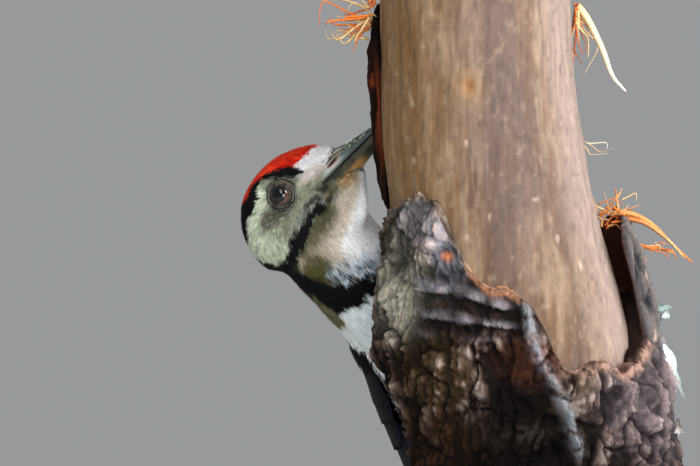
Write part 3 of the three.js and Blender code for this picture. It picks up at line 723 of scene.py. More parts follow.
PATCH = 0.003  # a tuft's patch on the unwrap
BARB_PAINTED_GLEAM = 0.002  # painted highlight: a little light added to every barb's colour, so that even black barbs show a gleam
SHOWN = 0.35  # the place between a tuft's middle and its tip that the next tufts leave in sight
BEND = 0.55  # the share of a tuft's length at which its blades are widest
BLADE_PAINTED_SHADE = (0.7, 0.7, 0.95, 0.95, 1.06)  # brightness from the two root points to the tip: painted shade deep in the coat, where the feathers' bases are also greyer, and a little painted light at the tip
BLADE_MAP = (  # each point's place in the patch: share of the blade's own place across, shift, height
    (0.35, -0.04, -0.4), (0.35, 0.04, -0.4), (0.42, -0.04, 0.05), (0.42, 0.04, 0.05), (0.46, -0.04, 0.45),
)
TUFT_TRIANGLES = 3
PIECE_TRIANGLES = 180000
HEAD_TUFTS, FACE_TUFTS, BODY_TUFTS = 5.6, 5.5, 3.4  # to the square millimetre; the face adds its own


def scatter(points, faces, density):
    """Repeatable random places on a surface of quads, with so many to the square millimetre."""
    tris = np.vstack([faces[:, [0, 1, 2]], faces[:, [0, 2, 3]]])
    a, b, c = (points[tris[:, k]] for k in range(3))
    area = np.linalg.norm(np.cross(b - a, c - a), axis=1) / 2
    wanted = area * density((a + b + c) / 3)
    count = int(wanted.sum())
    pick = np.searchsorted(np.cumsum(wanted) / wanted.sum(), RNG.random(count))
    s = np.sqrt(RNG.random(count))[:, None]
    t = RNG.random(count)[:, None]
    return (1 - s) * a[pick] + s * (1 - t) * b[pick] + s * t * c[pick]


def nearest(tree, points):
    found = [tree.find_nearest(p) for p in points.tolist()]
    return np.array([f[0] for f in found]), np.array([f[1] for f in found])


def lie(points):
    """The way the coat lies: back over the head, round the eyes, and down the neck and body."""
    f, u, r = head_coords(points)
    outward = 0.25 * np.sign(r) * smooth(f, 0, 8)
    back = np.stack([-np.ones_like(f), -0.12 - 0.2 * smooth(-u, -2, 6), outward], -1)
    for side in (-1, 1):
        height, reach = eye_coords(points, side)
        round_eye = np.where(height > 0, bell((reach - LID_RADIUS) / 2.5), 0)
        away = np.stack([f - EYE_FORWARD, u - EYE_UP, 0 * r], -1)
        back = back + 1.2 * round_eye[:, None] * unit(away)
    t, _ = spine_coords(points)
    down = -spine_at(np.maximum(t, 0.03))[1]
    head = unit(mix(unit(back) @ HEAD, down, smooth(-u - 0.25 * f, 3, 13)))
    return unit(mix(down, head, on_head(points)))


def unwrap_head(points):
    f, u, r = head_coords(points)
    along = np.arccos(np.clip((f + 9) / 22.5, -1, 1)) / math.pi
    round_head = np.arctan2(r, u + 0.5) / (2 * math.pi) + 0.5
    return np.stack([round_head, along], -1)


def unwrap_body(points):
    t, angle = spine_coords(points)
    return np.stack([angle / 360 + 0.5, limit(t / 0.8)], -1)


def tuft_frame(roots, tree, length, lift, turn):
    """Each tuft's points at its root, bend and tip, with the directions across it there."""
    base, normal = nearest(tree, roots)
    along = lie(base)
    along = unit(along - normal * dot(along, normal)[:, None])
    along = unit(along + np.cross(normal, along) * turn[:, None])
    stations = [base - 0.15 * normal]
    sides = [unit(np.cross(normal, along))]
    for share in (BEND, 1.0):
        spot, n = nearest(tree, base + along * (length * share)[:, None])
        stations.append(spot + n * (lift * (1 - (1 - share) ** 1.7))[:, None])
        sides.append(unit(np.cross(n, along)))
    return base, stations, sides


def tufts(roots, tree, length, width, lift, blades, blade_width, fray, unwrap, turn):
    """Tufts of thin pointed blades that follow the surface: points, faces, colours and patches."""
    count = len(roots)
    base, stations, sides = tuft_frame(roots, tree, length, lift, turn)
    colours = markings(stations[1] * (1 - SHOWN) + stations[2] * SHOWN, fray)
    colours *= (1 + RNG.normal(0, 0.06, count))[:, None]
    points = np.empty((count, blades, 5, 3))
    uv = np.empty((count, blades, 5, 2))
    shade = np.empty((count, blades, 5))
    start = np.clip(unwrap(base), PATCH, 1 - PATCH)
    half, thin = 0.5 * width, 0.5 * blade_width[:, None]
    for k, across in enumerate(np.linspace(-1, 1, blades)):
        wobble = RNG.normal(0, 0.16, (count, 2))
        offset = half * (across + wobble[:, 0])
        end = np.clip(1 - 0.28 * across**2 + 0.7 * wobble[:, 1], 0.5, 1.12)
        tip = stations[1] + (stations[2] - stations[1]) * ((end - BEND) / (1 - BEND))[:, None]
        root = stations[0] + sides[0] * (0.25 * offset)[:, None]
        middle = stations[1] + sides[1] * (0.8 * offset)[:, None]
        for i, way in enumerate((-1, 1)):
            points[:, k, i] = root + way * sides[0] * 0.7 * thin
            points[:, k, i + 2] = middle + way * sides[1] * thin
        points[:, k, 4] = tip + sides[2] * (1.15 * offset)[:, None]
        # Each blade's own random brightness, times the painted shade from its root to its tip
        bright = 1 + RNG.normal(0, 0.16, count)
        shade[:, k] = bright[:, None] * BLADE_PAINTED_SHADE
        for i, (share, shift, rise) in enumerate(BLADE_MAP):
            uv[:, k, i] = start + PATCH * np.array([share * across + shift, rise])
    # Each tuft's colour with the painted gleam added, times its blades' brightness and painted shade
    tint = limit((colours[:, None, None, :] + BARB_PAINTED_GLEAM) * shade[..., None])
    first = 5 * np.arange(count * blades)[:, None]
    return points, [first + np.array([0, 1, 3, 2]), first + np.array([2, 3, 4])], tint, uv.reshape(-1, 2)


def shoulder_lift(points):
    """How much higher the tufts stand that lap over the bend of the wing."""
    t, angle = spine_coords(points)
    angle = np.abs(angle)
    return 2.2 * bell((t - 0.208) / 0.018) * smooth(angle, 50, 70) * smooth(-angle, -125, -112)


def coat(name, roots, tree, size, blades, material, unwrap, length, width, blade_width, fray):
    """One region of the coat, split into pieces that stay small enough."""
    order = np.argsort(RNG.random(len(roots)))
    parts = math.ceil(len(roots) * blades * TUFT_TRIANGLES / PIECE_TRIANGLES)
    for number, chosen in enumerate(np.array_split(order, parts), 1):
        at = roots[chosen]
        jitter = RNG.normal(0, fray, (len(at), 2))
        scale = size(at) * (1 + RNG.normal(0, 0.12, len(at)))
        height = coat_depth(at) * (0.75 + 0.35 * RNG.random(len(at))) + shoulder_lift(at)
        points, faces, tint, uv = tufts(
            at, tree, length * scale, width * scale, height, blades, blade_width * scale, jitter, unwrap,
            RNG.normal(0, 0.14, len(at)),
        )
        piece(f"{name}_{number}", points, faces, material, tint, {"OFBake": uv})


def clear_of_bare_parts(points):
    """True where feathers grow: not under the lids, nor inside the bill."""
    free = np.ones(len(points), bool)
    for side in (-1, 1):
        height, reach = eye_coords(points, side)
        free &= (reach > LID_RADIUS + 0.15) | (height < 0)
    f, u, _ = head_coords(points)
    line, share = feather_line(f, u)
    return free & ~((f > line - 0.3) & (share < 1.02)) & (f < 13.9)


def near_face(points):
    """1 where the tufts are small and dense: before the eyes and round the right one."""
    f, _, _ = head_coords(points)
    _, reach = eye_coords(points, 1)
    return limit(smooth(f, -3, 4) + smooth(-reach, -9, -5.5))


def head_size(points):
    f, u, _ = head_coords(points)
    return (1 - 0.42 * near_face(points)) * (1 + 0.55 * smooth(-u - 0.2 * f, 7, 14))


def body_size(points):
    t, _ = spine_coords(points)
    return 1 + 0.9 * smooth(t, 0.16, 0.36)


def make_coat(skin):
    points, faces, tree = skin
    soft = finish_material("plumage", 0.8, 0.08, vary=[(0.9, EVEN, 0.9, 1.08)])
    part = 1.0

    def head_density(p):
        return on_head(p) * (HEAD_TUFTS + FACE_TUFTS * near_face(p)) * part

    def body_density(p):
        t, _ = spine_coords(p)
        return (1 - on_head(p)) * BODY_TUFTS * (1 - 0.75 * smooth(t, 0.17, 0.3)) * part

    roots = scatter(points, faces, head_density)
    roots = roots[clear_of_bare_parts(roots)]
    coat("coat_head", roots, tree, head_size, 6, soft, unwrap_head, 4.3, 1.15, 0.24, 0.35)
    roots = scatter(points, faces, body_density)
    coat("coat_body", roots, tree, body_size, 7, soft, unwrap_body, 6.0, 1.9, 0.3, 0.6)


# ---- Bill and eyes ----

IRIS_RADIUS = 3.1
PUPIL_RADIUS = 2.4
BRISTLES = 46  # on each side
BRISTLE_POINTS = 6
NOSTRIL = (8.2, 0.44)  # distance forward, and share of the upper half's height


def make_mandible(name, side, height, tip, colour, material):
    """One mandible as a closed form: a rounded outer side with a ridge, and a flat side at the gape."""
    f = steps(BILL_START, tip, 90)
    turn = np.linspace(0, math.pi, 40)[None, :]
    inner = np.linspace(1, -1, 12)[1:-1][None, :]
    half = bill_width(f)
    ridge = 0.08 * bell(np.cos(turn) / 0.14)
    groove = -0.22 * bell((np.sin(turn) - 0.55) / 0.09) * smooth(-f, -24, -10)
    up = side * height(f) * (np.sin(turn) ** 0.95 + ridge + groove * (side > 0))
    up = up * (1 - 0.35 * smooth(f, tip - 1.2, tip))
    gape = GAPE_LEVEL + side * 0.15
    outer = head_point(f, gape + up, half * blunt(np.cos(turn), 0.8))
    flat = head_point(f, gape + side * 0.1 * (1 - inner**2), -half * inner)
    rings = np.concatenate([outer, flat], axis=1)
    rings += 0.05 * rough(rings, 1.6, 3, 31)[..., None] * HEAD[1]
    ends = [head_point(BILL_START, gape, 0.0), head_point(tip, gape + side * 0.3, 0.0)]
    tube_piece(name, rings, colour, ends, material, (name,), flip=side < 0)


def upper_colour(points):
    f, u, _ = head_coords(points)
    rise = (u - GAPE_LEVEL) / np.maximum(culmen(f), 0.5)
    # The ridge's dark horn with pale specks, which are partly painted highlight along the culmen
    speck = rough(points * np.array([1.4, 1, 1]), 0.9, 3, 17)
    ridge = mix("2a332a", "a9b094", smooth(speck, 0.1, 0.75))
    return paint(
        mix("93a19b", "3f4b4a", smooth(f, 5, 16)),
        (ridge, smooth(rise, 0.42, 0.62)),
        ("2f3637", smooth(f, 20, 30) * 0.8),
        # Painted shadow: almost black along the gape
        ("15170f", smooth(-rise, -0.2, -0.05)),
        ("c9ab9c", 0.8 * patch(f, rise, NOSTRIL, (3.8, 0.26))),
        ("3d1f20", patch(f, rise, NOSTRIL, (3.0, 0.15))),
    )


def lower_colour(points):
    f, u, _ = head_coords(points)
    drop = (GAPE_LEVEL - u) / np.maximum(gonys(f), 0.5)
    cloud = rough(points, 2.2, 3, 23)
    ribs = np.sin(4.2 * f + 2 * cloud)
    return paint(
        mix("16170c", "3c3a22", limit(0.35 + 0.5 * cloud + 0.25 * ribs)),
        ("a87a42", smooth(drop, 0.5, 0.95) * smooth(-f, -18, -14)),
        ("86694f", smooth(f, 19, 27) * (0.5 + 0.3 * cloud)),
        # Painted shadow: almost black along the gape
        ("12120c", smooth(-drop, -0.24, -0.06)),
    )


def disc_ring(side, reach, height, turn):
    """Points round an eye, at a distance from its line of sight and a height above its middle."""
    forward = EYE_FORWARD + reach * np.cos(turn)
    return head_point(forward, EYE_UP + reach * np.sin(turn), side * (EYE_OUT + height))


def make_eye(name, side, material):
    """The eyeball, with its iris and pupil as colours, and a slightly bulging front."""
    rows, columns = 48, 72
    polar = steps(0, math.pi, rows)
    radius = EYE_RADIUS - 0.04 + 0.22 * np.exp(-((polar / 0.62) ** 4))
    points = disc_ring(side, radius * np.sin(polar), radius * np.cos(polar), circle(columns))
    height, reach = eye_coords(points, side)
    f, u, _ = head_coords(points)
    angle = np.arctan2(u - EYE_UP, f - EYE_FORWARD)
    rays = limit(0.5 + 0.3 * np.sin(37 * angle) + 0.3 * np.sin(61 * angle + 2))
    iris = paint("1c0e0a", ("4a2c22", rays), ("1c0c09", smooth(reach, 2.85, IRIS_RADIUS)))
    # Painted shade from the brow: the iris darkened towards its top; below, it is lighter and pinker
    under = smooth(-np.sin(angle - math.radians(10)), -0.1, 0.9)
    iris = mix(iris * 0.35, mix(iris, "7a5648", 0.4), under)
    colour = mix(iris, "040406", smooth(-reach, -PUPIL_RADIUS - 0.12, -PUPIL_RADIUS + 0.12))
    colour = np.where((height < 0)[..., None], tone("1a1110"), colour)
    faces = grid_faces(rows, columns, closed=True)[:, ::side]
    piece(name, points, [faces], material, colour, replaces=(name,))


def make_lids(name, side, material):
    """A thin wet rim and two rings of small beads round the eye, with dark furrows between them."""
    rows, columns = 44, 240
    section = steps(0, 1, rows)
    turn = circle(columns)
    squeeze = 1 + 0.07 * np.cos(2 * turn + math.pi / 2) - 0.03 * np.sin(turn)
    reach = (IRIS_RADIUS - 0.1 + 2.5 * section) * squeeze
    beads = 0.5 + 0.5 * np.cos(34 * turn + 0.6 * np.sin(5 * turn))
    far_beads = 0.5 + 0.5 * np.cos(39 * turn + 0.9 * np.sin(4 * turn))
    brow = bell((turn - math.radians(30)) / 0.75)
    wander = section + 0.035 * np.sin(3 * turn + 1) + 0.02 * np.sin(7 * turn) + 0.015 * np.sin(13 * turn)
    ridge = (
        0.3 * bell((section - 0.1) / 0.05)
        + (0.3 + 0.2 * beads) * bell((wander - 0.34) / 0.085)
        + (0.26 + 0.18 * far_beads + 0.3 * brow) * bell((wander - 0.62) / (0.08 + 0.04 * brow))
        + 0.2 * bell((wander - 0.87) / 0.06)
    )
    ridge = ridge * (1 + 0.55 * rough(disc_ring(side, reach, 4.0, turn), 1.1, 2, 47))
    sphere = np.sqrt(EYE_RADIUS**2 - np.minimum(reach, 4.0) ** 2)
    sink = smooth(section, 0.06, 0.4)
    points = disc_ring(side, reach, sphere * (1 - sink) + (2.45 - 0.7 * section) * sink + ridge, turn)
    bare = mix("7a7366", "7a5f48", brow * smooth(section, 0.45, 0.6))
    # Painted light and shade: the beads' grey lighter on their crests, and almost black in the furrows
    # between the rings
    beaded = 0.55 + 0.6 * np.where(section < 0.48, beads, far_beads)
    bare = bare * (beaded * (1 + 0.4 * noise(points, 0.7, 43)))[..., None]
    colour = mix("0a0908", bare, smooth(ridge, 0.12, 0.42))
    faces = grid_faces(rows, columns, closed=True)[:, ::-side]
    piece(name, points, [faces], material, colour)


def make_bristles(material):
    """Dark bristles that lie forward from the lores over the nostrils and along the gape."""
    bristles = Gathered()
    s = np.linspace(0, 1, BRISTLE_POINTS)
    half = (0.13 * (1 - s) ** 0.6 + 0.01)[:, None]
    for side, k in itertools.product((-1, 1), range(BRISTLES)):
        f, rise = RNG.uniform(2.5, 8.5), RNG.uniform(0.45, 1.0)
        along = f + RNG.uniform(4, 7.5) * s
        up = GAPE_LEVEL + rise * culmen(along) + 0.55 * np.sin(math.pi * s)
        out = bill_width(along) * np.sqrt(np.maximum(1 - rise**2, 0.02)) + 0.5 + 0.25 * np.sin(3 * s + k)
        line = head_point(along, up, side * out)
        points = np.stack([line - half * HEAD[1], line + half * HEAD[1]], 1)
        tint = np.broadcast_to(tone("1d1b18" if k % 3 else "a39a88"), points.shape)
        spot = np.clip(unwrap_head(line[:1]), PATCH, 1 - PATCH)
        uv = spot + PATCH * np.stack([np.tile([-0.4, 0.4], BRISTLE_POINTS), np.repeat(s - 0.5, 2)], -1)
        bristles.add(points, grid_faces(BRISTLE_POINTS, 2), tint, uv)
    bristles.piece("bristles", material, "plumage", "OFBake")


def make_head_parts():
    horn = finish_material("horn", 0.5, 0.3, vary=[(0.6, EVEN, 0.85, 1.15)],
                           bumps=[(0.35, EVEN, 0.03), (2, EVEN, 0.05)])
    make_mandible("bill_upper", 1, culmen, BILL_TIP, upper_colour, horn)
    make_mandible("bill_lower", -1, gonys, BILL_TIP - 1, lower_colour, horn)
    eye = finish_material("eye", 0.05, 0.4)
    lid = finish_material("lid", 0.5, 0.4, vary=[(0.4, EVEN, 0.8, 1.2)], bumps=[(0.25, EVEN, 0.03)])
    for name, side in (("right", 1), ("left", -1)):
        make_eye(f"eye_{name}", side, eye)
        make_lids(f"lids_{name}", side, lid)
    make_bristles(finish_material("bristle", 0.6, 0.3))


# ---- Wings and tail: single vanes ----

WING_START, WING_END = 0.222, 0.9  # shares of the spine
VANE_ROWS, VANE_COLUMNS = 20, 7
WING_VANE, TAIL_VANE = 0.22, 0.35  # thickness
FLIGHT_WIDTH, TAIL_WIDTH = 4.6, 5.4  # half the widest place
PRIMARIES, SECONDARIES = 8, 9
COVERTS = (  # where the rows start on the wing, length, half width, count, lift
    (0.20, 0.17, 3.6, 13, 2.2), (0.13, 0.14, 3.3, 13, 2.4), (0.085, 0.11, 3.0, 13, 2.5),
    (0.045, 0.09, 2.8, 12, 2.3), (0.01, 0.08, 2.7, 10, 1.9), (-0.02, 0.07, 2.5, 8, 1.6),
)
TAIL_PAIRS = 5
WING_BLACK, WING_WHITE, VANE_EDGE_SHEEN = tone("0b0c12"), tone("e6e5df"), tone("1d2438")
wrap_width = profile([
    (0.2, 16.2), (0.25, 18.6), (0.33, 22.1), (0.45, 22.3), (0.55, 21.1), (0.65, 18.1), (0.76, 13.5),
    (0.9, 8.6),
])
wrap_back = profile([
    (0.2, 17.4), (0.25, 18.6), (0.35, 20.2), (0.5, 19.4), (0.62, 15.4), (0.76, 10.4), (0.9, 7.4),
])
wing_front = profile([(0, 2), (0.05, -9), (0.15, -13), (0.5, -9), (0.66, 2), (0.8, 18), (0.9, 27), (1, 34)])
wing_rear = profile([(0, 26), (0.05, 48), (0.15, 74), (0.35, 84), (0.5, 84), (0.62, 74), (0.85, 60), (1, 44)])
vane_outline = profile([(0, 0.25), (0.12, 0.7), (0.4, 1), (0.75, 0.95), (0.92, 0.62), (1, 0.06)])


def wing_spine(at):
    """The share of the spine beside a share of the wing's length."""
    return WING_START + (WING_END - WING_START) * at


def wing_point(side, at, angle, lift):
    """A point on the folded wing: share of its length, degrees round the body, height over the flank."""
    t = wing_spine(at)
    centre, _, right, belly = spine_at(t)
    a = np.radians(angle)
    across = side * np.cos(a) * (wrap_width(t) + lift)
    back = np.sin(a) * (wrap_back(t) + lift)
    return centre + right * across[..., None] - belly * back[..., None]


def add_vane(vanes, place, half_width, thickness, colour, rows=VANE_ROWS):
    """A closed thin vane. `place` gives points for the share along it, the distance across and the lift."""
    s, m = np.meshgrid(np.linspace(0, 1, rows), np.linspace(-1, 1, VANE_COLUMNS), indexing="ij")
    notch = 0.05 * half_width * np.sin(43 * s + 5 * m) * np.abs(m) ** 3
    offset = m * half_width * vane_outline(s) + notch * np.sign(m)
    camber = 0.12 * half_width * (1 - m**2)
    sheets = [place(s, offset, camber + way * thickness / 2) for way in (1, -1)]
    count = s.size
    number = np.arange(count).reshape(s.shape)
    edge = np.concatenate([number[0], number[1:, -1], number[-1, -2::-1], number[-2:0:-1, 0]])
    after = np.roll(edge, -1)
    rim = np.stack([edge, edge + count, after + count, after], -1)
    grid = grid_faces(rows, VANE_COLUMNS)
    shaft = bell(m / 0.1)[..., None]
    tint = colour(s, m) * (1 - 0.35 * shaft) + 0.006 * shaft
    # Painted sheen: a faint blue rim along the edges of black vanes, which also sets them apart
    tint = np.maximum(tint, 0.8 * VANE_EDGE_SHEEN * smooth(np.abs(m), 0.75, 1)[..., None])
    uv = np.stack([m * 0.5, s * 3], -1).reshape(-1, 2)
    faces = np.vstack([grid[:, ::-1], count + grid, rim])
    vanes.add(np.stack(sheets), faces, np.stack([tint, tint * 0.8]), np.vstack([uv, uv]))


def vane_material():
    """Dark, fairly rough vane with fine slanting barbs."""
    material = finish_material("vanes", 0.6, 0.08, vary=[(2.5, EVEN, 0.8, 1.2)])
    tree = material.node_tree
    uv = tree.nodes.new("ShaderNodeUVMap")
    uv.uv_map = "Vane"
    parts = add_node(tree, "SeparateXYZ", uv.outputs[0]).node.outputs
    lean = add_node(tree, "Math", parts["X"], operation="ABSOLUTE")
    slant = add_node(tree, "Math", parts["Y"], lean, operation="SUBTRACT")
    line = add_node(tree, "CombineXYZ", X=slant)
    wave = add_node(tree, "TexWave", Vector=line, Scale=14.0, Distortion=0.6).node.outputs[1]
    set_sockets(tree.nodes["Principled BSDF"], Normal=add_node(tree, "Bump", Height=wave, Distance=0.08 * MM))
    return material


def black_and_white(white):
    return mix(WING_BLACK, WING_WHITE, white)


def barred(bars, first, last, both=False):
    """White spots in a row along each web of a black vane."""
    def colour(s, m):
        phase = (s - first) / (last - first) * bars
        spot = (np.abs(phase % 1 - 0.5) < 0.24) & (s > first) & (s < last) & (np.abs(m) > 0.34)
        return black_and_white(np.where(spot if both else spot & (m < 0), smooth(np.abs(m), 0.3, 0.5), 0))
    return colour


def scapular(root, tip):
    """White where the vane lies in the oval on the shoulder, black elsewhere."""
    def colour(s, m):
        at = root[0] + (tip[0] - root[0]) * s
        angle = root[1] + (tip[1] - root[1]) * s + 6 * m
        oval = np.hypot((at - 0.24) / 0.125, (angle - wing_rear(at) + 27) / 15)
        return black_and_white(smooth(-oval, -1.06, -0.94))
    return colour


def tail_bars(s, m):
    phase = s * 7 + 0.5 * np.abs(m)
    return black_and_white(((phase % 1) >= 0.42) & (s >= 0.45))


def tail_black(s, m):
    return black_and_white(0 * s)


def add_wing_sheet(vanes, side):
    """The thin black sheet under the wing's vanes, which closes the gaps between them."""
    s, m = np.meshgrid(np.linspace(0.0, 0.97, 40), np.linspace(0.03, 0.97, 14), indexing="ij")
    angle = wing_front(s) + (wing_rear(s) - wing_front(s)) * m
    points = np.stack([wing_point(side, s, angle, lift) for lift in (0.9, 0.55)])
    grid = grid_faces(*s.shape)
    tint = np.broadcast_to(WING_BLACK, points.shape)
    vanes.add(points, np.vstack([grid[:, ::-1], s.size + grid]), tint, np.zeros((2 * s.size, 2)))


def make_wing(name, side, material):
    """Rows of coverts over secondaries, tertials and long primaries, all wrapped round the flank."""
    vanes = Gathered()

    def add(root, tip, width, lift, colour, rows=VANE_ROWS):
        """A vane from one (share, angle) to another."""
        def place(s, offset, height):
            at = root[0] + (tip[0] - root[0]) * s
            angle = root[1] + (tip[1] - root[1]) * s
            turn = np.degrees(offset / (wrap_width(wing_spine(at)) + 2))
            return wing_point(side, at, angle + turn, lift[0] + (lift[1] - lift[0]) * s + height)

        add_vane(vanes, place, width, WING_VANE, colour, rows)

    add_wing_sheet(vanes, side)
    for k in range(PRIMARIES):
        end = 1.0 - 0.05 * k
        root, tip = (0.34, wing_front(0.34) + 7 + 5.5 * k), (end, wing_front(end) + 4 + 3.4 * k)
        lift = (0.75 + 0.12 * k, 0.8 + 0.1 * k)
        add(root, tip, FLIGHT_WIDTH, lift, barred(6, 0.25, 0.97, both=k > 1))
    for k in range(SECONDARIES):
        end = 0.66 - 0.022 * k
        tip = (end, min(wing_rear(end) - 2, wing_front(end) + 34 + 6.5 * k))
        lift = (1.0 + 0.1 * k, 1.5 + 0.1 * k)
        add((0.22, 14 + 7.6 * k), tip, FLIGHT_WIDTH, lift, barred(4, 0.42, 0.97, both=True))
    for row, (at, length, width, count, lift) in enumerate(COVERTS):
        start = max(at, 0.005)
        end = start + length
        for k in range(count):
            share = (k + 0.5 * (row % 2)) / (count - 0.5)
            root = (start, wing_front(start) + 2 + (wing_rear(start) - wing_front(start) - 4) * share)
            tip = (end, wing_front(end) + 3 + (wing_rear(end) - wing_front(end) - 6) * share)
            add(root, tip, width, (lift - 1.1, lift - 0.25), scapular(root, tip), rows=14)
    vanes.piece(name, material, "flight_feathers", "Vane", (name,))


def make_tail(material):
    """Stiff pointed feathers: the middle pairs black, the outer ones white with black bars."""
    vanes = Gathered()
    root = spine_at(0.66)[0]
    _, _, right, belly = spine_at(0.7)
    along = spine_at(1.0)[0] - root
    normal = unit(belly - along * (belly @ along) / (along @ along))
    for pair, side in itertools.product(range(TAIL_PAIRS), (-1, 1)):
        reach = 1 - 0.055 * pair - 0.012 * pair**2
        depth = -1.2 + 0.55 * pair
        start = root + right * side * (1 + 1.1 * pair) + normal * depth
        end = root + along * reach + right * side * (2.2 + 3.1 * pair) + normal * depth

        def place(s, offset, height):
            line = start + (end - start) * s[..., None]
            return line + right * offset[..., None] - normal * height[..., None]

        add_vane(vanes, place, TAIL_WIDTH, TAIL_VANE, tail_bars if pair > 2 else tail_black, rows=34)
    vanes.piece("tail", material, "flight_feathers", "Vane", ("tail",))


# ---- Legs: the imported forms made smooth, with scales and curved claws ----

LEG_VOXEL, CLAW_VOXEL = 0.3, 0.2
LEG_SOFTNESS, LEG_PASSES = 0.5, 3
SCALE_SIZE = 1.5


def refined(name, voxel, material, finish):
    """A smooth close-meshed copy of a packed form, which it replaces. The voxel is in mm."""
    points, normals, faces = remeshed(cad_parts[name].data.copy(), voxel * MM, LEG_SOFTNESS, LEG_PASSES)
    points, tint = finish(points / MM - TRUNK_SHIFT, normals)
    piece(name, points, [faces], material, tint, replaces=(name,))


def scaled_leg(points, normals):
    """Rows of small plates over the toes and the tarsus."""
    near, far, own = cells(points, SCALE_SIZE, 41)
    seam = smooth(far - near, 0.0, 0.3)
    return points + normals * (0.12 * seam - 0.02)[:, None], mix("2e2f2b", "7b7a6c", seam * (0.6 + 0.4 * own))


def plain_claw(points, normals):
    return points + 0.05 * normals, np.broadcast_to(tone("3a3733"), points.shape)


def make_legs():
    scales = finish_material("scales", 0.5, 0.4, vary=[(1.2, EVEN, 0.85, 1.15)], bumps=[(0.3, EVEN, 0.03)])
    claw = finish_material("claw", 0.3, 0.5, coat=0.2, vary=[(1.0, EVEN, 0.8, 1.2)])
    for side in ("right", "left"):
        refined(f"tarsus_{side}", LEG_VOXEL, scales, scaled_leg)
        refined(f"foot_{side}", LEG_VOXEL, scales, scaled_leg)
        for k in range(1, 5):
            refined(f"claw_{side}_{k}", CLAW_VOXEL, claw, plain_claw)


# ---- Trunk ----

TRUNK_BOTTOM, TRUNK_TOP = 45, 332
WOOD_COLUMNS, BARK_COLUMNS = 300, 700
KNOT_TURN, KNOT_HEIGHT = math.radians(-7), 288.5
BARK_GAP = 0.35  # between the wood and the bark's inner side
BARK_LEAST = 0.7  # the bark's least thickness
trunk_middle = profile([(45, 19), (110, 15.5), (180, 9.5), (225, 3.8), (255, -1.9), (285, -5.8), (332, -7.6)])
wood_radius = profile([
    (45, 37), (180, 35), (210, 34.2), (240, 31.8), (256, 30.6), (272, 30.2), (300, 28.7), (332, 28.4),
])
bark_rim = profile([
    (-180, 236), (-125, 240), (-95, 244), (-76, 249), (-56, 254), (-37, 255), (-29, 249),
    (-22, 235), (-15, 230.5), (2, 226), (9, 221), (19, 204.5), (35, 208), (50, 204), (66, 212),
    (82, 222), (130, 229), (180, 236),
])
left_swelling = profile([
    (150, 0), (172, -2), (186, -2.2), (194, -1), (203, 1.8), (211, 3.4), (222, 2.4), (238, 1.2), (250, 1.4),
])
right_swelling = profile([(60, 2), (165, 4.4), (220, 5.2), (240, 4)])
bark_thinning = profile([(0, 0.7), (0.15, 1), (0.9, 1), (1, 0.72)])
# The bark's torn inner edge, a ridge that runs down the front, in degrees by the height.
torn_edge = profile([(178, 18), (192, 15), (219, 5.5), (226, 3)])
BARK_PATCHES = (  # tint, middle and size in degrees and height, strength
    ("b0aa98", (-62, 230), (28, 20), 0.75),
    ("4f3f26", (-46, 203), (28, 16), 0.6),
    ("a59c9a", (-48, 249), (20, 9), 0.85),
    ("6f6e76", (-28, 238), (10, 14), 0.8),
    ("0c0705", (-4, 180), (42, 24), 0.95),
    ("25160a", (-52, 178), (34, 24), 0.9),
    ("5c3426", (2, 207), (17, 9), 0.8),
    ("857678", (62, 198), (36, 26), 0.65),
    ("565962", (86, 206), (9, 30), 0.6),
)


def bark_thickness(angle, z):
    swelling = np.where(np.sin(angle) < 0, left_swelling(z), right_swelling(z)) * np.abs(np.sin(angle))
    return 4.2 + swelling + 0.9 * np.sin(5 * angle + z / 23) + 0.7 * np.sin(9 * angle - z / 13)


def wood_surface(angle, z):
    return wood_radius(z) + 0.5 * np.sin(3 * angle + z / 40) + 0.3 * np.sin(7 * angle)


def trunk_point(angle, radius, z):
    return np.stack([trunk_middle(z) + radius * np.sin(angle), -radius * np.cos(angle), z + 0 * radius], -1)


def wood_colour(spots, angle, z, streak, peck, knot):
    """Streaks, flecks and dents, with warm and grey sides, which are partly painted shade and light, and the
    knot's rings.
    """
    broad = limit(0.5 + 0.8 * rough(squeezed(spots, 0.2), 16, 2, 71))
    ahead = smooth(-np.abs(angle), -3.0, -1.8)  # the side tints fade out before they meet at the back
    flecks = rough(squeezed(spots, 0.6), 1.3, 2, 63)
    heart = bell(knot * 1.7)
    dark = tone("442f26")
    return paint(
        mix("694e36", "8b735d", streak),
        (dark, 0.75 * smooth(broad, 0.5, 0.95) * (0.6 + 0.4 * streak)),
        ("62504a", 0.5 * bell((angle - 0.18) / 0.55) * smooth(z, 205, 260)),
        # The left side darker and more ochre, the right side paler and greyer: partly the wood's tint, partly
        # painted shade on the left and painted light on the right
        ("6e4f28", 0.65 * ahead * smooth(-angle, 0.1, 0.9)),
        ("9c8880", 0.7 * ahead * smooth(angle, 0.5, 1.1)),
        ("a8937e", 0.25 * smooth(flecks, 0.3, 1.0)),
        (dark * 0.8, 0.4 * smooth(-flecks, 0.3, 1.0)),
        ("b8a290", 0.5 * peck),
        ("7a4c22", 0.85 * heart),
        ("b98d58", 0.5 * bell(knot) * (1 - heart)),
    )


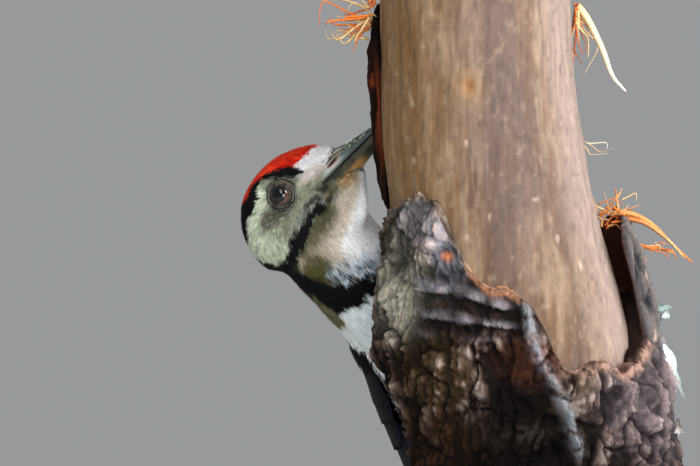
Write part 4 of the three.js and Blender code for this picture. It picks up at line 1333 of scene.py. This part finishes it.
def make_wood(material):
    """Bare wood: streaked along its length, with small dents, a knot and a sawn top."""
    z = np.concatenate([steps(TRUNK_BOTTOM, 196, 20), steps(197, TRUNK_TOP, 150)])
    angle = circle(WOOD_COLUMNS, -math.pi)
    radius = wood_surface(angle, z)
    spots = trunk_point(angle, radius, z)
    streaks = rough(squeezed(spots, 0.14), 2.2, 4, 51)
    dents = rough(squeezed(spots, 0.5), 9, 3, 57)
    peck = smooth(rough(squeezed(spots, 0.6), 3.4, 3, 61) + 0.35 * noise(spots, 16, 67), 1.04, 1.35)
    knot = np.hypot((angle - KNOT_TURN) * radius / 3.2, (z - KNOT_HEIGHT) / 4.0)
    colour = wood_colour(spots, angle, z, limit(0.5 + 0.9 * streaks), peck, knot)
    radius = radius - 0.15 + 0.13 * streaks + 0.22 * dents - 0.3 * peck - 0.9 * bell(knot * 2.2)
    shares = steps(0.97, 0.03, 22)
    top = trunk_point(angle, radius[-1:] * shares, TRUNK_TOP)
    top[..., 2] += 0.25 * (1 - shares)
    under = trunk_point(angle, radius[:1] * shares[::-1], TRUNK_BOTTOM)
    year_rings = mix("8f7350", "c2a57c", 0.5 + 0.5 * np.sin(shares * 70 + 0.8 * np.sin(3 * angle)))
    rings = np.concatenate([under, trunk_point(angle, radius, z), top])
    tint = np.concatenate([year_rings[::-1], colour, year_rings])
    ends = [(trunk_middle(TRUNK_BOTTOM), 0, TRUNK_BOTTOM), (trunk_middle(TRUNK_TOP), 0, TRUNK_TOP + 0.25)]
    tube_piece("trunk_wood", rings, tint, ends, material, ("perch_wood",))


def bark_relief(points):
    """Lumps, flakes and crumbs of the bark in mm, and how deep in a crevice each place lies."""
    warp = np.stack([rough(points, 9, 2, 80 + 5 * k) for k in range(3)], -1)
    bent = squeezed(points + 3.0 * warp, 0.7)
    crevice = 1 - smooth(np.abs(noise(bent, 6.5, 131)), 0.02, 0.17)
    cracks = 1 - smooth(np.abs(noise(bent, 3.4, 151)), 0.03, 0.2)
    flakes = layers(rough(bent, 7, 3, 137), 0.3, 0.3)
    crumbs = ridges(points + warp, 2.6, 4, 89)
    relief = 2.3 * ridges(bent, 10, 3, 83) + 1.4 * flakes - 1.6 * crevice - 0.6 * cracks + 1.3 * crumbs
    return relief + 0.25 * rough(points, 1.2, 2, 97) - 1.9, np.maximum(crevice, 0.6 * cracks), crumbs


def bark_features(degrees, z, wobble):
    """The ledges and the torn ridge on the front, in mm, and how much each place belongs to them."""
    ledge_zone = smooth(degrees, -58, -40) * smooth(-degrees, -2, 8)
    ledge_zone = ledge_zone * smooth(z, 212, 217) * smooth(-z, -236, -229)
    slope = (z + 0.13 * degrees + 3.2 * wobble) / 8
    ledges = (1 - (slope - np.floor(slope))) ** 1.4
    ridge_zone = smooth(z, 176, 184) * smooth(-z, -228, -222)
    ridge = bell((degrees - torn_edge(z) - 3 * wobble) / 2.6) * ridge_zone
    hollow = patch(degrees, z, (-3, 200), (17, 15))
    return 2.0 * (ledges - 0.45) * ledge_zone + 2.4 * ridge - 2.2 * hollow, ledge_zone, ledges, ridge


def bark_tint(degrees, z, relief, crumbs, crevice, spots):
    """Browns by the relief, with the grey, ochre, dark and russet parts of the bark over them, all lighter on
    the highs and darker in the lows and crevices as painted light and shade.
    """
    high = smooth(relief, -1.6, 2.2)
    # Painted light and shade: every tint is lighter where the relief is high and darker where it is low
    level = 0.3 + 0.9 * high[..., None]
    pale = smooth(crumbs, 0.75, 1.15) * smooth(high, 0.45, 0.8)
    patches = [
        (tone(tint) * level, share * patch(degrees, z, middle, size))
        for tint, middle, size, share in BARK_PATCHES
    ]
    return paint(
        mix("140d0b", "4c3c35", smooth(high, 0.1, 0.6)),
        ("8a7d76", smooth(high, 0.62, 1.0)),
        (tone("5f4f38") * level, 0.45 * smooth(rough(spots, 12, 3, 103), 0.3, 0.9)),
        *patches,
        ("b9a297", 0.65 * pale * smooth(np.abs(degrees), 18, 34) * smooth(z, 186, 206)),
        # Painted shade in the crevices
        ("0f0a08", 0.7 * crevice),
    )


def rim_rows(radius, inner, angle, edge):
    """The torn rim between the bark's outer side and its inner side, with its colours."""
    degrees = np.degrees(angle)
    share = steps(0, 1, 9)[1:]
    across = radius[-1:] + (inner[-1:] - radius[-1:]) * share
    tangle = rough(trunk_point(angle, across, edge), 2.4, 3, 107)
    points = trunk_point(angle, across, edge + 0.9 * (1 + tangle) * np.sin(math.pi * share))
    tangled = limit(0.45 + 0.7 * tangle)
    tint = paint(
        mix("3c3029", "8b7d70", tangled),
        (mix("59382a", "b0805f", tangled), smooth(degrees, -24, -17) * smooth(-degrees, -6, 0)),
        (mix("4f3932", "a3816f", tangled), smooth(degrees, 16, 22)),
        ("1c120e", smooth(degrees, 48, 60) * smooth(-degrees, -125, -112)),
        ("4a3a33", smooth(-share, -0.35, -0.05)),
    )
    return points, tint


def make_bark(material):
    """The jagged sleeve of bark: lumpy outside, broken rim, and inner bark showing along it."""
    angle = circle(BARK_COLUMNS, -math.pi)
    degrees = np.degrees(angle)
    t = steps(0, 1, 300)
    ragged = 40 * np.stack([np.sin(angle), np.cos(angle), 0 * angle], -1)
    edge = bark_rim(degrees) + 1.2 * rough(ragged, 7, 3, 101) + 0.7 * rough(ragged, 2, 2, 109) - 0.6
    z = TRUNK_BOTTOM + (edge - TRUNK_BOTTOM) * t
    inner = wood_surface(angle, z) + BARK_GAP
    outer = wood_surface(angle, z) + bark_thickness(angle, z) * bark_thinning(t)
    spots = trunk_point(angle, outer, z)
    relief, crevice, crumbs = bark_relief(spots)
    shaped, ledge_zone, ledges, ridge = bark_features(degrees, z, noise(spots, 14, 141))
    relief = relief * (1 - 0.5 * ledge_zone) + shaped
    radius = np.maximum(outer + relief, inner + BARK_LEAST)
    # Painted light and shadow on the ledges: pale grey on each lip, nearly black under it
    ledge_light_and_shadow = smooth(ledges, 0.35, 0.85) * limit(0.6 + 0.7 * noise(spots, 3.5, 143))
    glow = smooth(z, edge - 2.6, edge - 0.4) * smooth(degrees, -24, -17) * smooth(-degrees, -6, 0)
    pink = smooth(z, edge - 3.5, edge - 0.5) * smooth(degrees, 22, 30)
    colour = paint(
        bark_tint(degrees, z, relief, crumbs, crevice * (1 - ledge_zone), spots),
        (mix("130e0d", "7f7a82", ledge_light_and_shadow), 0.75 * ledge_zone),
        ("7b7e84", 0.8 * ridge * smooth(crumbs, 0.2, 0.7)),
        ("a3603c", 0.75 * patch(degrees, z, (-28.5, 238), (3.0, 1.8))),
        ("9a6b4e", 0.75 * glow),
        ("a98270", 0.75 * pink * smooth(crumbs, 0.15, 0.6)),
    )
    rim, rim_tint = rim_rows(radius, inner, angle, edge)
    inside_z = edge + (TRUNK_BOTTOM - edge) * steps(0, 1, 6)[1:]
    inside = trunk_point(angle, wood_surface(angle, inside_z) + BARK_GAP, inside_z)
    points = np.concatenate([trunk_point(angle, radius, z), rim, inside])
    tint = np.concatenate([colour, rim_tint, np.broadcast_to(tone("7a4a33"), inside.shape)])
    k = np.arange(BARK_COLUMNS)
    n = (k + 1) % BARK_COLUMNS
    last = (len(points) - 1) * BARK_COLUMNS
    faces = [grid_faces(len(points), BARK_COLUMNS, closed=True), np.stack([last + k, last + n, n, k], -1)]
    replaced = ("perch_bark_left", "perch_bark_front", "perch_bark_back")
    piece("trunk_bark", points, faces, material, tint, replaces=replaced)


def make_bark_strip(name, angles, low, high, inner, outer, palette, material, relief_depth, bluntness):
    """A loose plate of bark off the wood, between two angles in degrees, as a closed rough form."""
    t = steps(0, 1, 80)
    turn = circle(120)
    outward = 0.5 + 0.5 * blunt(np.cos(turn), 0.35)
    rise = 0.5 + 0.5 * blunt(np.sin(turn), 0.5)
    taper = np.sin(math.pi * np.clip(t, 0.004, 0.996)) ** bluntness
    z = (low(t) + high(t)) / 2 + (rise - 0.5) * (high(t) - low(t)) * taper
    angle = np.radians(angles[0] + (angles[1] - angles[0]) * t)
    radius = wood_radius(z) + inner(t, z) + (outer(t, z) - inner(t, z)) * outward * taper
    rings = trunk_point(angle, radius, z)
    relief = rough(squeezed(rings, 0.4), 3.2, 4, 113)
    lumps = 2.2 * ridges(squeezed(rings, 0.6), 6, 3, 117) - 1.1
    middle = trunk_middle(rings[..., 2])
    normal = unit(squeezed(rings, 0) - np.stack([middle, 0 * middle, 0 * middle], -1))
    rings = rings + normal * (relief_depth * (0.7 * relief + 0.9 * lumps) * outward)[..., None]
    rings[..., 2] += 1.5 * rough(squeezed(rings, 0.1), 4.5, 3, 119) * (rise * 2 - 1)
    # The plate lighter where its relief is high, partly painted light; flecks of the third colour; and the
    # fourth colour on its side facing the wood, as painted shade under the plate
    colour = paint(
        mix(palette[0], palette[1], limit(0.4 + 0.6 * relief + 0.4 * lumps)),
        (palette[2], smooth(rough(squeezed(rings, 0.5), 2.0, 3, 121), 0.5, 0.9)),
        (palette[3], smooth(1 - outward, 0.4, 0.9)),
    )
    ends = [rings[i].mean(axis=0) for i in (0, -1)]
    tube_piece(name, rings, colour, ends, material, (name,), flip=True)


def make_strips(material):
    thickness = profile([(250, 2.6), (262, 4.4), (274, 4.7), (284, 3.6), (294, 4.6), (312, 5)])
    thinning = profile([(0, 1), (0.4, 0.8), (1, 0.7)])
    make_bark_strip(
        "perch_bark_strip_left", (-84, -158), profile([(0, 252), (0.5, 248), (1, 252)]),
        profile([(0, 309), (0.5, 313), (1, 300)]), lambda t, z: 0.6,
        lambda t, z: thickness(z) * thinning(t) - 0.7, ("090404", "211009", "63290f", "080403"),
        material, 1.0, 0.09,
    )
    lean = profile([(212, 8.4), (236, 9.3), (252, 8.6)])
    make_bark_strip(
        "perch_bark_strip_right", (70, 131), profile([(0, 209), (0.23, 214), (0.5, 219), (1, 222)]),
        profile([(0, 246), (0.5, 252), (1, 247)]), lambda t, z: lean(z) - 3.4,
        lambda t, z: lean(z) - 0.5, ("151215", "6a6361", "a58a7a", "3c2016"),
        material, 1.2, 0.05,
    )


STRAND_ROWS = 14


def add_strand(strands, line, width, flatness, tint, tip_tint=None):
    """A tapering four-sided fibre along a curve through a few points."""
    line = np.array(line, float)
    s = np.linspace(0, 1, STRAND_ROWS)
    knots = np.linspace(0, 1, len(line))
    path = np.stack([profile(list(zip(knots, line[:, k])))(s) for k in range(3)], -1)
    along = unit(np.gradient(path, axis=0))
    side = unit(np.cross(along, [0.15, 1, 0.1]))
    up = np.cross(side, along)
    half = (width / 2 * (1 - 0.75 * s**1.5))[:, None]
    section = [(1, 0), (0, flatness), (-1, 0), (0, -flatness)]
    rings = np.stack([path + side * half * x + up * half * y for x, y in section], 1)
    last = 4 * (STRAND_ROWS - 1) + np.arange(4)
    faces = np.vstack([grid_faces(STRAND_ROWS, 4, closed=True), [[3, 2, 1, 0], last]])
    colours = mix(tint, tint if tip_tint is None else tip_tint, s)
    strands.add(rings, faces, np.repeat(colours, 4, axis=0) * RNG.uniform(0.8, 1.15))


def make_fibres(material):
    """Torn bast: straw and orange fibres at the strips' ends and one long splinter on the right."""
    strands = Gathered()
    straw, orange, pale, ochre, bright, rust = (
        tone(code) for code in ("d9b27a", "d9702a", "e8dcbf", "c98a50", "f0963c", "a8552c")
    )

    def brush(count, root, spread, reach, reach_spread, width, colours, droop=2.0):
        for _ in range(count):
            start = np.array(root) + RNG.normal(0, 1, 3) * spread
            way = np.array(reach) + RNG.normal(0, 1, 3) * reach_spread
            bend = RNG.normal(0, 0.18, 3) * np.linalg.norm(way)
            end = start + way + [0, 0, -droop * RNG.random()]
            line = [start, start + way * 0.35 + bend * 0.5, start + way * 0.7 + bend, end]
            tint = colours[RNG.integers(len(colours))]
            add_strand(strands, line, width * RNG.uniform(0.6, 1.3), 0.35, tint)

    def strand(width, flatness, tint, tip_tint, *line):
        add_strand(strands, line, width, flatness, tint, tip_tint)

    mostly_straw = (straw, orange, straw)
    brush(26, (-38.5, 6, 308), (0.8, 2.5, 3.0), (-9, -1, 0.5), (3.0, 2, 2.6), 0.8, mostly_straw, 1.5)
    brush(16, (-38.0, 3, 313), (0.6, 2.5, 1.2), (-1.5, 0, 4), (1.6, 1.5, 2.4), 0.7, (orange, straw))
    strand(2.4, 0.3, straw, pale,
           (22.8, 2, 313), (26, 1, 309), (30.5, 1, 300), (33.5, 1, 292), (37.5, 0, 287.3))
    strand(2.6, 0.25, pale, straw, (23.0, 3, 312), (27.5, 3, 306), (31.3, 3, 299))
    brush(16, (22.6, 3, 311), (0.5, 2.5, 2.5), (2, 0, -6), (1.4, 1, 5), 0.7, (orange, straw, rust))
    brush(3, (25.4, 4, 271), (0.3, 1, 1.2), (8, -1, -2.5), (1.2, 0.6, 1.0), 0.5, (pale, straw), 1.0)
    brush(34, (32.5, 3, 250), (2.4, 2.4, 2.6), (3.2, -1, 2.5), (2.6, 2, 2.6), 0.6, (orange, straw, ochre))
    strand(1.8, 0.5, ochre, orange,
           (34, 0, 251), (40, -1, 250.5), (46, -1, 247), (51, -1, 242), (57.3, -1, 236.2))
    strand(1.6, 0.5, orange, straw, (36, 0, 249.5), (43, -2, 248), (50, -2, 243), (55, -1, 237.5))
    strand(1.6, 0.5, orange, bright, (38, 1, 243), (42, 1, 241), (47, 1, 240.5), (52, 1, 239))
    brush(12, (44, 0, 241), (3.5, 1, 1.2), (3, 0, -1.2), (2, 1, 1.5), 0.6, (orange, bright, straw))
    strand(0.9, 0.5, straw, orange, (36.0, 2, 250), (35, 2, 254), (34.4, 2, 258.5))
    strands.piece("bast_fibres", material, "bark")


LICHEN = (  # middle, half width, half height, lean in degrees, colour
    ((50.8, -1, 204.8), 2.2, 8.2, 25, "d6e0e2"), ((49.2, 0, 208), 1.5, 5.0, 30, "a9b5b0"),
    ((48.0, 0, 222.6), 2.4, 1.3, 12, "8fa39f"), ((49.8, -1, 221.0), 0.9, 1.9, -20, "b4c2bc"),
    ((53.2, -2, 187), 1.3, 2.5, 12, "a39a94"),
)


def make_lichen(material):
    """Small pale lobes of lichen and loose scales on the trunk's right side."""
    lobes = Gathered()
    rows, columns = 9, 28
    u, v = np.broadcast_arrays(steps(0.001, 1, rows), circle(columns))
    for k, (middle, wide, tall, lean, code) in enumerate(LICHEN):
        wave = 1 + 0.22 * np.sin(3 * v + k) + 0.12 * np.sin(7 * v + 2 * k)
        x, z = wide * u * np.cos(v) * wave, tall * u * np.sin(v) * wave
        cos, sin = math.cos(math.radians(lean)), math.sin(math.radians(lean))
        lift = 0.8 * u**2 * np.sin(2 * v + k)
        for side in (1, -1):
            across = x * cos - z * sin + 0.3 * lift
            points = np.array(middle) + np.stack([across, lift - 0.18 * side, x * sin + z * cos], -1)
            faces = grid_faces(rows, columns, closed=True)[:, ::side]
            lobes.add(points, faces, mix(code, "75806f", 0.6 * u**6))
    lobes.piece("lichen", material, "bark")


def make_trunk():
    wood = finish_material("bare_wood", 0.7, 0.3,
                           vary=[(1.4, ALONG_TRUNK, 0.82, 1.14), (5, EVEN, 0.92, 1.06)],
                           bumps=[(0.8, ALONG_TRUNK, 0.12), (0.35, EVEN, 0.04)])
    bark = finish_material("bark", 0.9, 0.06, vary=[(1.2, EVEN, 0.75, 1.25)],
                           bumps=[(1.2, EVEN, 0.3), (0.4, EVEN, 0.12)])
    make_wood(wood)
    make_bark(bark)
    make_strips(bark)
    make_fibres(finish_material("bast", 0.6, 0.3, vary=[(0.8, ALONG_TRUNK, 0.8, 1.2)]))
    make_lichen(finish_material("lichen", 0.85, 0.2, vary=[(0.8, EVEN, 0.85, 1.1)], bumps=[(0.6, EVEN, 0.1)]))


# ---- Stand ----

BASE_BEVEL = 2.5
CENTRE = 0.01  # radius of the tiny ring that closes a turned form's ends


def turned(name, outline, middle, material, colour, columns):
    """A form turned round an upright line from (radius, height) points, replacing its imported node."""
    r, z = (np.array(outline)[:, k:k + 1] for k in (0, 1))
    angle = circle(columns)
    x, y = middle[0] + r * np.cos(angle), middle[1] + r * np.sin(angle)
    points = np.stack(np.broadcast_arrays(x, y, z), -1)
    tint = np.broadcast_to(tone(colour), points.shape)
    faces = grid_faces(len(outline), columns, closed=True)
    piece(name, points, [faces], material, tint, replaces=(name,))


def node_box(name):
    """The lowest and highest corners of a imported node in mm, and the radius across them."""
    low, high = (np.array(corner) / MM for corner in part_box(name))
    return low, high, (high[0] - low[0]) / 2


def make_stand():
    lacquer = finish_material("stand_paint", 0.45, 0.4, coat=0.1, vary=[(6, EVEN, 0.92, 1.08)],
                              bumps=[(0.5, EVEN, 0.015)])
    steel = finish_material("stand_steel", 0.3, 0.5, bumps=[(0.4, (1, 1, 8), 0.006)], metallic=1.0)
    low, high, radius = node_box("stand_base")
    bevel = [
        (radius - BASE_BEVEL * (1 - math.cos(a)), high[2] - BASE_BEVEL * (1 - math.sin(a)))
        for a in np.linspace(0, math.pi / 2, 9)
    ]
    under = [(CENTRE, low[2]), (radius - 0.6, low[2]), (radius, low[2] + 0.6)]
    outline = [*under, *bevel, (radius - 4, high[2]), (CENTRE, high[2])]
    turned("stand_base", outline, -TRUNK_SHIFT, lacquer, "2b2a29", 160)
    for name in ("stand_rod_1", "stand_rod_2"):
        low, high, radius = node_box(name)
        bottom = [(CENTRE, low[2]), (radius - 0.3, low[2]), (radius, low[2] + 0.3)]
        top = [(radius, high[2] - 0.3), (radius - 0.3, high[2]), (CENTRE, high[2])]
        turned(name, bottom + top, (low + high) / 2 - TRUNK_SHIFT, steel, "b9b9b6", 48)


# ---- The whole model ----

make_camera()
make_studio()
make_stand()
make_trunk()
make_legs()
vanes = vane_material()
make_wing("wing_right", 1, vanes)
make_wing("wing_left", -1, vanes)
make_tail(vanes)
make_head_parts()
make_coat(make_skin(finish_material("skin", 0.8, 0.2, vary=[(1.0, EVEN, 0.8, 1.1)])))
